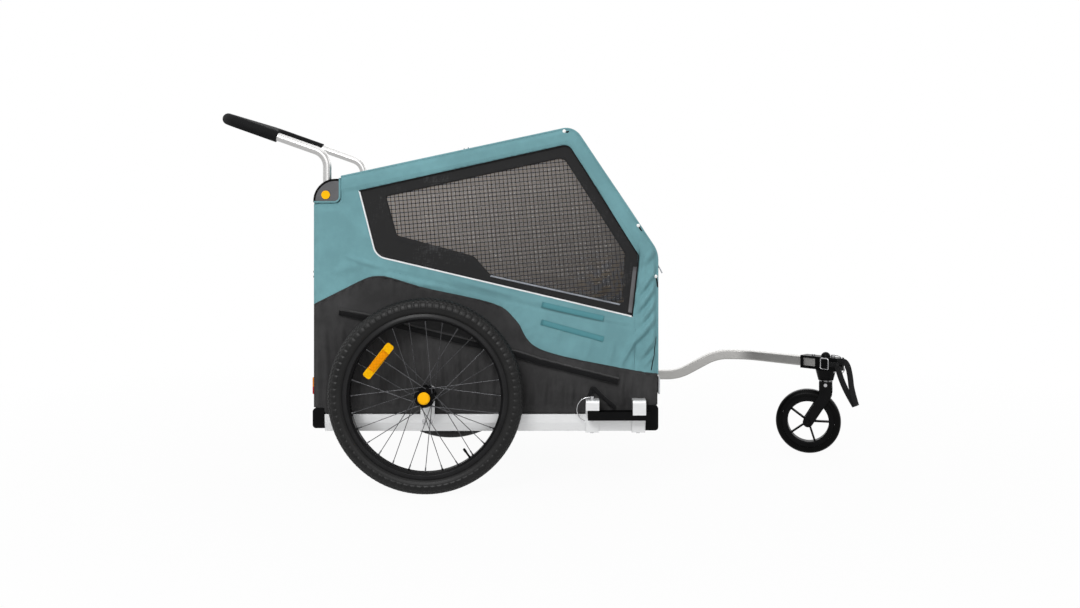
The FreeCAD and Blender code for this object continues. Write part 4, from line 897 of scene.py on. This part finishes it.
notch_row = [(-290, 738), (-232, 738), (-220, 748), (-220, 800)]
teal_rows = {"roof": offset_line(roof_edge, 33), "front": offset_line(front_seam, 4), "notch": notch_row}
black_rows = {"skirt": [(x, z - 7) for x, z in seam], "ridge": offset_line(ridge_line, -14)}
band_line = straight(ridge_line, 9)
pipings = [
    ("seam_piping", [seam], upper_rise, 0.2, 2.4, "cloth_black"),
    ("window_piping", [piping_corner], border_rise, 1.4, 2.2, "white_piping"),
    ("window_binding", [offset_line(dark_edge, 1.4)], border_rise, 2.4, 2, "webbing"),
    ("wall_seams", [front_seam, straight(low_seam, 8)], upper_rise, 0, 0.7, "teal_thread"),
    ("front_zip", [front_zip], upper_rise, 0.2, 1.4, "webbing"),
    ("roof_binding", [roof_edge], upper_rise, -1, 3, "cloth_teal"),
]
for side, word in sides:
    out = Vector((0, side, 0))
    upper = wall(f"side_cloth_{word}", upper_outline, [window_outline], 4.2, upper_rise, side, "cloth_teal")
    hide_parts(f"side_panel_{word}")
    rows = [wall_stitches(f"{row}_hem_{word}", path, upper_rise, side, "teal_thread")
            for row, path in teal_rows.items()]
    declared(upper)
    skirt = wall(f"skirt_cloth_{word}", skirt_outline, [], 4.5, lower_rise, side, "cloth_black")
    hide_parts(f"side_skirt_{word}")
    rows = [wall_stitches(f"{row}_seam_{word}", path, lower_rise, side, "black_thread")
            for row, path in black_rows.items()]
    declared(skirt)
    # A webbing band under the ridge; its very dark colour also paints the shade below the ridge's lip.
    path = [at(x, side * (cloth_y + ridge_lift), z) for x, z in offset_line(band_line, 1)]
    lean = (out - Vector((0, 0, 0.4))).normalized()
    across = [lean.cross(d) for d in headings(path)]
    band(f"ridge_band_{word}", path, across, lean, *ridge_band_size, "webbing")
    path = [at(x, side * (cloth_y + ridge_lift - 0.5), z) for x, z in offset_line(band_line, -9)]
    # The piping's lighter cloth is a painted highlight along the ridge's top edge.
    line(f"ridge_piping_{word}", [path], 2.4, "ridge_highlight_cloth")
    border = wall(f"window_border_{word}", window_outline, [mesh_outline], 5, border_rise, side, "border")
    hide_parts(f"window_{word}")
    row = wall_stitches(f"window_hem_{word}", offset_line(mesh_loop, -9), border_rise, side, "black_thread")
    declared(border)
    for thread, form in net_cords(side).items():
        piece(f"window_{thread}_{word}", *form, thread)
    for name, paths, rise, lift, radius, finish in pipings:
        line(f"{name}_{word}", [on_wall(path, rise, side, lift) for path in paths], radius, finish)
    path = [at(x, side * lip_y, z) for x, z in notch_edge]
    outs = [out.cross(d) for d in headings(path)]
    band(f"notch_lip_{word}", path, out, outs, *notch_lip_size, "cloth_teal")
    flat_strip(f"window_tape_{word}", tape_ends, 8, border_rise, side, 2.6, *tape_size, "grey_tape")
    piece(f"window_zip_{word}", *zip_teeth(zip_line, border_rise, side, 0.9), "zip")
    for number, shares in enumerate(strip_shares):
        flat_strip(f"sewn_strip_{number}_{word}", on_side(shares), 16, upper_rise, side, 1.8,
                   *sewn_strip_size, "teal_webbing")


# Roof, front, rear and lower ends

def along_sheet(profile, y, rise, lift):
    """Points of an across sheet at one distance from the middle, and the directions out of it there."""
    points = []
    outs = []
    travelled = 0
    before = Vector(profile[0])
    for (x, z), ahead in zip(profile, tangents(profile)):
        travelled += (Vector((x, z)) - before).length
        before = Vector((x, z))
        high = float(rise(np.array(travelled), np.array(y))) + lift
        points.append(at(x - ahead.y * high, y, z + ahead.x * high))
        outs.append(Vector((-ahead.y, 0, ahead.x)))
    return points, outs


def across_sheet(name, profile, half, rise, finish, node=None, trim=0, body="frame"):
    """A cloth across the cabin along a side-view line with its outer side on its left.

    It stands in for a solid where one is named, and may be trimmed at both side edges.
    """
    columns = 72
    reach = half - trim
    runs = [along_sheet(profile, reach * (2 * j / columns - 1), rise, 0)[0] for j in range(columns + 1)]
    points = [run[i] for i in range(len(profile)) for run in runs]
    sheet = piece(name, points, strips(len(profile), columns + 1, False), finish, body)
    if node:
        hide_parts(node)
    declared(sheet)


def taut_rise(s, y):
    """Gentle waves across a stretched cloth, still at its side edges."""
    edge = 1 - step_up(np.abs(y), half_width - 45, half_width)
    return (0.4 + 1.6 * (1 + ripple(s, y, 52))) * edge


def loose_rise(s, y):
    """Upright pleats and waves of the lower end cloths."""
    edge = 1 - step_up(np.abs(y), half_width - 30, half_width)
    return (1.6 + 1.1 * ripple(y, s, 26) + 0.8 * np.sin(y / 6.3 + 0.8 * np.sin(s / 40))) * edge


apex_to_elbow = (Vector(roof_line[2]) - Vector(roof_line[1])).normalized()
door_top = tuple(Vector(roof_line[1]) + apex_to_elbow * door_drop)
door_start = tuple(Vector(roof_line[1]) + apex_to_elbow * (door_drop + 3))
roof_end = tuple(Vector(roof_line[1]) + apex_to_elbow * (door_drop - 2.6))
roof_profile = rounded([roof_line[0], roof_line[1], roof_end], [0, apex_round, 0], 9, False)
cover_end = (front_x, seam_front + seam_gap)
door_profile = rounded([door_start, roof_line[2], cover_end], [0, elbow_round, 0], 9, False)
rear_profile = straight([(rear_x, seam_rear + seam_gap), (rear_x, notch_z - 1)], 9)
slope_profile = straight([(rear_x, notch_z), (notch_x - 2.5, notch_top - 2.5)], 9)
front_low_profile = straight([(front_x, seam_front - seam_gap), (front_x, front_low_z)], 8)
rear_low_profile = straight([(rear_x, rear_low_z), (rear_x, seam_rear - seam_gap)], 8)
hem_low_z = 188.6
front_hem_x = front_x - 1.5
rear_hem_x = rear_x + 1.5
front_hem_profile = straight([(front_hem_x, hem_low_z), (front_hem_x, front_low_z - 1)], 6)[::-1]
rear_hem_profile = straight([(rear_hem_x, hem_low_z), (rear_hem_x, rear_low_z - 1)], 6)
low_half = 283
slope_half = 272.5
cover_trim = 1
roof_length = length_of(roof_profile)


def roof_rise(s, y):
    """The roof's waves, still at the seam that the front cover hangs from."""
    return taut_rise(s, y) * (1 - step_up(s, roof_length - 27, roof_length - 2))


def cover_rise(s, y):
    """The front cover's waves, still at the seam that it hangs from."""
    return taut_rise(s, y) * step_up(s, 2, 27)


def flat_rise(s, y):
    return 0 * s


across_sheet("roof_cloth", roof_profile, half_width, roof_rise, "cloth_teal", "roof_panel")
across_sheet("front_cloth", door_profile, half_width, cover_rise, "cloth_black",
             "front_door", cover_trim, "door")
across_sheet("rear_cloth", rear_profile, half_width, taut_rise, "cloth_teal", "rear_panel")
across_sheet("rear_slope_cloth", slope_profile, slope_half, taut_rise, "cloth_teal")
across_sheet("front_skirt_cloth", front_low_profile, half_width, loose_rise, "cloth_black",
             "end_skirts")
across_sheet("rear_skirt_cloth", rear_low_profile, half_width, loose_rise, "cloth_black")
across_sheet("front_hem_cloth", front_hem_profile, low_half, flat_rise, "cloth_black")
across_sheet("rear_hem_cloth", rear_hem_profile, low_half, flat_rise, "cloth_black")

seam_half = 266
cover_seam_half = 298
corner_y = 301.4
corner_radius = 2.2
rear_seams = [[at(x, y, z) for y in (-seam_half, seam_half)]
              for x, z in ((notch_x - 1.4, notch_top - 1), (rear_x, notch_z - 0.5))]
line("rear_seams", rear_seams, corner_radius, "cloth_teal")
cover_seam = [at(door_top[0], y, door_top[1]) for y in (-cover_seam_half, cover_seam_half)]
line("cover_seam", [cover_seam], 2.4, "cloth_teal")
for side, word in sides:
    corner = [at(rear_x + 0.5, side * corner_y, z) for z in (rear_low_z + 0.5, seam_rear, notch_z - 4)]
    line(f"rear_corner_low_{word}", [corner[:2]], corner_radius, "cloth_black")
    line(f"rear_corner_high_{word}", [corner[1:]], corner_radius, "cloth_teal")


# Zips and roll-up straps of the front cover

wide = Vector((0, 1, 0))
zip_from_middle = 276
strap_from_middle = 160
zip_first = 2
strap_first = 4
strap_last = 22
zip_tape_size = (17, 1.6)
roll_strap_size = (20, 1.8)
buckle_size = (29, 6)
buckle_lift = 3
for side, word in sides:
    path, outs = along_sheet(door_profile, side * zip_from_middle, cover_rise, 0.8)
    band(f"door_zip_tape_{word}", path[zip_first:], wide, outs[zip_first:], *zip_tape_size, "webbing", "door")
    path = along_sheet(door_profile, side * zip_from_middle, cover_rise, 1.6)[0]
    line(f"door_zip_teeth_{word}", [path[zip_first:]], 1.6, "zip", "door")
    path, outs = along_sheet(door_profile, side * strap_from_middle, cover_rise, 1.4)
    path = path[strap_first:strap_last]
    outs = outs[strap_first:strap_last]
    band(f"door_strap_{word}", path, wide, outs, *roll_strap_size, "webbing", "door")
    hold = [p + n * (buckle_lift / 1000) for p, n in zip(path[-5:-1], outs[-5:-1])]
    band(f"door_buckle_{word}", hold, wide, outs[-5:-1], *buckle_size, "black_plastic", "door")


# Main tyres

tyre_steps = 756
tyre_rows = 70
tyre_spread = math.radians(139)
section_radius = 227
section_half = 23.3
section_rise = 22.2
tread_height = 2
tread_rows = [
    (0, 8.5, 126, 0, 2, 0.8), (11.5, 22.5, 126, 0.5, 2, 0.8), (25.5, 36.5, 126, 0, 2, 0.8),
    (39.5, 49, 126, 0.5, 1.6, 0.8), (53, 93, 84, 0.25, 1.9, 0.9),
]


def tread(angle, lean):
    """How far the tread stands out: small knobs in rows, and a ring of larger blocks on the shoulder."""
    across = abs(math.degrees(lean))
    for low, high, count, phase, height, filling in tread_rows:
        if low <= across <= high:
            turn = (angle / (2 * math.pi) * count + phase) % 1
            return height * min(1, 6 * min(turn, max(filling - turn, 0)))
    return 0.5 if 118 < across < 122 else 0


def tyre_form(centre):
    points = []
    for i in range(tyre_steps):
        angle = 2 * math.pi * i / tyre_steps
        out = Vector((math.cos(angle), 0, math.sin(angle)))
        for j in range(tyre_rows + 1):
            lean = tyre_spread * (2 * j / tyre_rows - 1)
            lift = tread(angle, lean)
            offset = (section_half - tread_height + lift) * math.sin(lean)
            radius = section_radius + (section_rise - tread_height + 0.8 + lift) * math.cos(lean)
            points.append(centre + (out * radius + Vector((0, offset, 0))) / 1000)
    return points, turned(strips(tyre_steps, tyre_rows + 1, True))


valve_angle = math.radians(-54)
valve_foot = 0.1935
valve_profile = [
    (0, 3.2), (2, 3.6), (4, 2.7), (17, 2.7), (18, 3.4), (26, 3.3), (28, 2.4), (28.5, 0.1),
]
for side, word in sides:
    centre = at(0, side * wheel_y, axle_z)
    tyre = piece(f"tyre_tread_{word}", *tyre_form(centre), "tyre_rubber", f"wheel_{word}")
    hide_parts(f"tyre_{word}")
    out = Vector((math.cos(valve_angle), 0, math.sin(valve_angle)))
    valve = lathe(valve_profile, centre + out * valve_foot, -out, 12)
    piece(f"valve_{word}", *valve, "black_plastic", f"wheel_{word}")


# Rim faces and spoke nipples

rim_face = [(12.4, 198.4), (16.4, 199.2), (16.8, 200.6), (15.9, 204.5), (14.6, 208.5), (13.1, 211.6)]
spoke_count = 28
spoke_lead = math.radians(62)
spoke_hub = 22
spoke_end = 192.8
spoke_flange = 22
spoke_seat = 3.4
spoke_side = 5.25
nipple_profile = [(-0.6, 0.1), (-0.6, 2.5), (2.5, 2.5), (3.5, 1.9), (12, 1.8), (12.6, 1.1)]


def nipples(side):
    """Points and faces of the nipples at the outer ends of a wheel's spokes."""
    parts = []
    for i in range(spoke_count):
        row = 1 if i % 2 == 0 else -1
        trailing = 1 if i % 4 < 2 else -1
        end_turn = 2 * math.pi * i / spoke_count
        start_turn = end_turn + trailing * spoke_lead
        start_y = side * (wheel_y - row * spoke_flange - trailing * spoke_seat)
        start = at(spoke_hub * math.cos(start_turn), start_y, axle_z + spoke_hub * math.sin(start_turn))
        end_y = side * (wheel_y - row * spoke_side)
        end = at(spoke_end * math.cos(end_turn), end_y, axle_z + spoke_end * math.sin(end_turn))
        parts.append(lathe(nipple_profile, end, start - end, 8))
    return merged(parts)


for side, word in sides:
    centre = at(0, side * wheel_y, axle_z)
    faces_of_rim = [lathe(rim_face, centre, (0, turn, 0), 120) for turn in (-1, 1)]
    piece(f"rim_track_{word}", *merged(faces_of_rim), "rim_track", f"wheel_{word}")
    piece(f"spoke_nipples_{word}", *nipples(side), "wire", f"wheel_{word}")


# Prism panel in the middle of each spoke reflector

panel_axis = Vector((0.645, 0, 0.764)).normalized()
panel_x = -117.455
panel_y = 384.1
panel_z = 341.7
panel_half = 30
panel_size = (20, 1.6)
for side, word in sides:
    middle = at(panel_x, side * panel_y, panel_z)
    out = Vector((0, side, 0))
    path = [middle + panel_axis * (panel_half / 1000 * (i / 4 - 1)) for i in range(9)]
    across = out.cross(panel_axis)
    band(f"reflector_prisms_{word}", path, across, out, *panel_size, "amber_prisms", f"wheel_{word}")


# Tether straps of the drop pins

tether_y = 314.3
tether_size = (11, 1.8)
tether_route = [
    (419, 238.8), (424, 252), (429, 262), (446, 247), (466, 229), (485, 212.6),
]
for side, word in sides:
    path = [at(x, side * tether_y, z) for x, z in smooth_line(tether_route, 5)]
    out = Vector((0, side, 0))
    across = [out.cross(d) for d in headings(path)]
    strap = band(f"tether_{word}", path, across, out, *tether_size, "webbing")
    if side < 0:
        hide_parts("tether_straps")


# Snaps, clips, pegs, zip pulls and axle caps

snap_profile = [(0, 4.6), (1.6, 4.8), (3.2, 4.3), (4.2, 3), (4.5, 0.1)]
snap_places = [
    ((354.5, 929.5), [(362, 927), (366, 929.5)]), ((547, 684), [(552, 676), (556, 670.5)]),
    ((593, 552), [(596, 540), (598, 524)]),
]
peg_places = [92.5, 103.5]
clip_places = [563, 550]
peg_y = 285
peg_height = 7
pull_y = 297
pull_line = [(599, 580), (604, 572), (610, 560)]
roof_slope = (roof_line[1][1] - notch_top) / (roof_line[1][0] - notch_x)
for side, word in sides:
    out = Vector((0, side, 0))
    parts = []
    loops = []
    for (x, z), elastic in snap_places:
        seat = on_wall([(x, z)], upper_rise, side, 0.8)[0]
        parts.append(lathe(snap_profile, seat, out, 16))
        loops.append(on_wall([(x, z)] + elastic, upper_rise, side, 1.6))
    piece(f"snaps_{word}", *merged(parts), "white_plastic")
    line(f"snap_elastics_{word}", loops, 2, "webbing")
    pegs = []
    for x in peg_places:
        z = notch_top + (x - notch_x) * roof_slope
        pegs.append([at(x, side * peg_y, z), at(x, side * peg_y, z + peg_height)])
    line(f"roof_pegs_{word}", pegs, 1.4, "zip")
    clips = [[at(rear_x - 1, side * peg_y, z), at(rear_x - 6, side * peg_y, z)] for z in clip_places]
    line(f"rear_clips_{word}", clips, 2.4, "black_plastic")
    pull = [at(x, side * pull_y, z) for x, z in pull_line]
    line(f"zip_pull_{word}", [pull], 1.6, "zip")

cap_profile = [(29.1, 7.4), (33.5, 7.8), (36, 7), (37.1, 4.5), (36.5, 3.6), (36.5, 0.1)]
small_axle = Vector((0.2588, 0.9659, 0))
small_wheel = at(1088.7, 138.2, 95)
caps = merged([lathe(cap_profile, small_wheel, small_axle * turn, 20) for turn in (1, -1)])
piece("small_axle_caps", *caps, "black_plastic", "swivel_fork")


# Floor and light

def seen_rays(tree):
    """1 for rays from the camera, off a gloss or through glass, and 0 for all others."""
    rays = tree.nodes.new("ShaderNodeLightPath")
    seen = rays.outputs["Is Camera Ray"]
    for kind in ("Is Glossy Ray", "Is Transmission Ray"):
        most = tree.nodes.new("ShaderNodeMath")
        most.operation = "MAXIMUM"
        tree.links.new(seen, most.inputs[0])
        tree.links.new(rays.outputs[kind], most.inputs[1])
        seen = most.outputs["Value"]
    return seen


floor_half = 14
floor_dark = (0.62, 0.62, 0.62)
floor_light = (0.65, 0.65, 0.65)
near_glow = 0.955
near_reach = 0.9
far_reach = 2.6
floor_look = Finish(Roughness=0.9)
floor_tone = floor_look.noise(0.8, 2)
floor_look.join(floor_look.shades(floor_tone, 0.3, floor_dark, 0.7, floor_light), "Base Color")
glow = floor_look.add("ShaderNodeEmission", Strength=1)
gone = floor_look.add("ShaderNodeVectorMath", {0: floor_look.place})
gone.operation = "LENGTH"
far = floor_look.range(gone.outputs["Value"], near_glow, 1, near_reach, far_reach)
share = floor_look.total(seen_rays(floor_look.tree), far, "MULTIPLY")
bare = floor_look.shader.outputs["BSDF"]
blend = floor_look.add("ShaderNodeMixShader", {0: share, 1: bare, 2: glow.outputs["Emission"]})
surface = floor_look.tree.nodes["Material Output"].inputs["Surface"]
floor_look.tree.links.new(blend.outputs["Shader"], surface)
floor_mesh = bpy.data.meshes.new("floor")
corners = [(-1, -1), (1, -1), (1, 1), (-1, 1)]
floor_mesh.from_pydata([(x * floor_half, y * floor_half, 0) for x, y in corners], [], [(0, 1, 2, 3)])
floor = bpy.data.objects.new("floor", floor_mesh)
floor.data.materials.append(floor_look.material)
bpy.context.scene.collection.objects.link(floor)

fill_light = 0.26
world = bpy.data.worlds.new("studio")
world.use_nodes = True
bpy.context.scene.world = world
back = world.node_tree.nodes["Background"]
back.inputs["Color"].default_value = (1, 1, 1, 1)
level = world.node_tree.nodes.new("ShaderNodeMapRange")
level.inputs["To Min"].default_value = fill_light
level.inputs["To Max"].default_value = 1
world.node_tree.links.new(seen_rays(world.node_tree), level.inputs["Value"])
world.node_tree.links.new(level.outputs["Result"], back.inputs["Strength"])

lamps = [
    ("key_lamp", (-1.2, -3.5, 2.7), 1.5, 97), ("front_lamp", (0.7, -4.5, 1.9), 2.4, 33),
    ("top_lamp", (0.2, -0.2, 3.2), 2, 16), ("back_lamp", (0.4, 3.2, 2.4), 2.6, 45),
    ("ahead_lamp", (3.5, 0.4, 2.2), 2.2, 28), ("behind_lamp", (-3.5, 0.4, 2.2), 2.2, 28),
]
lamp_target = Vector((0, 0, 0.45))
for name, place, size, power in lamps:
    data = bpy.data.lights.new(name, "AREA")
    data.shape = "SQUARE"
    data.size = size
    data.energy = power
    lamp = bpy.data.objects.new(name, data)
    lamp.location = place
    aim = lamp_target - Vector(place)
    lamp.rotation_euler = aim.to_track_quat("-Z", "Y").to_euler()
    bpy.context.scene.collection.objects.link(lamp)
bpy.context.scene.view_settings.view_transform = "Standard"
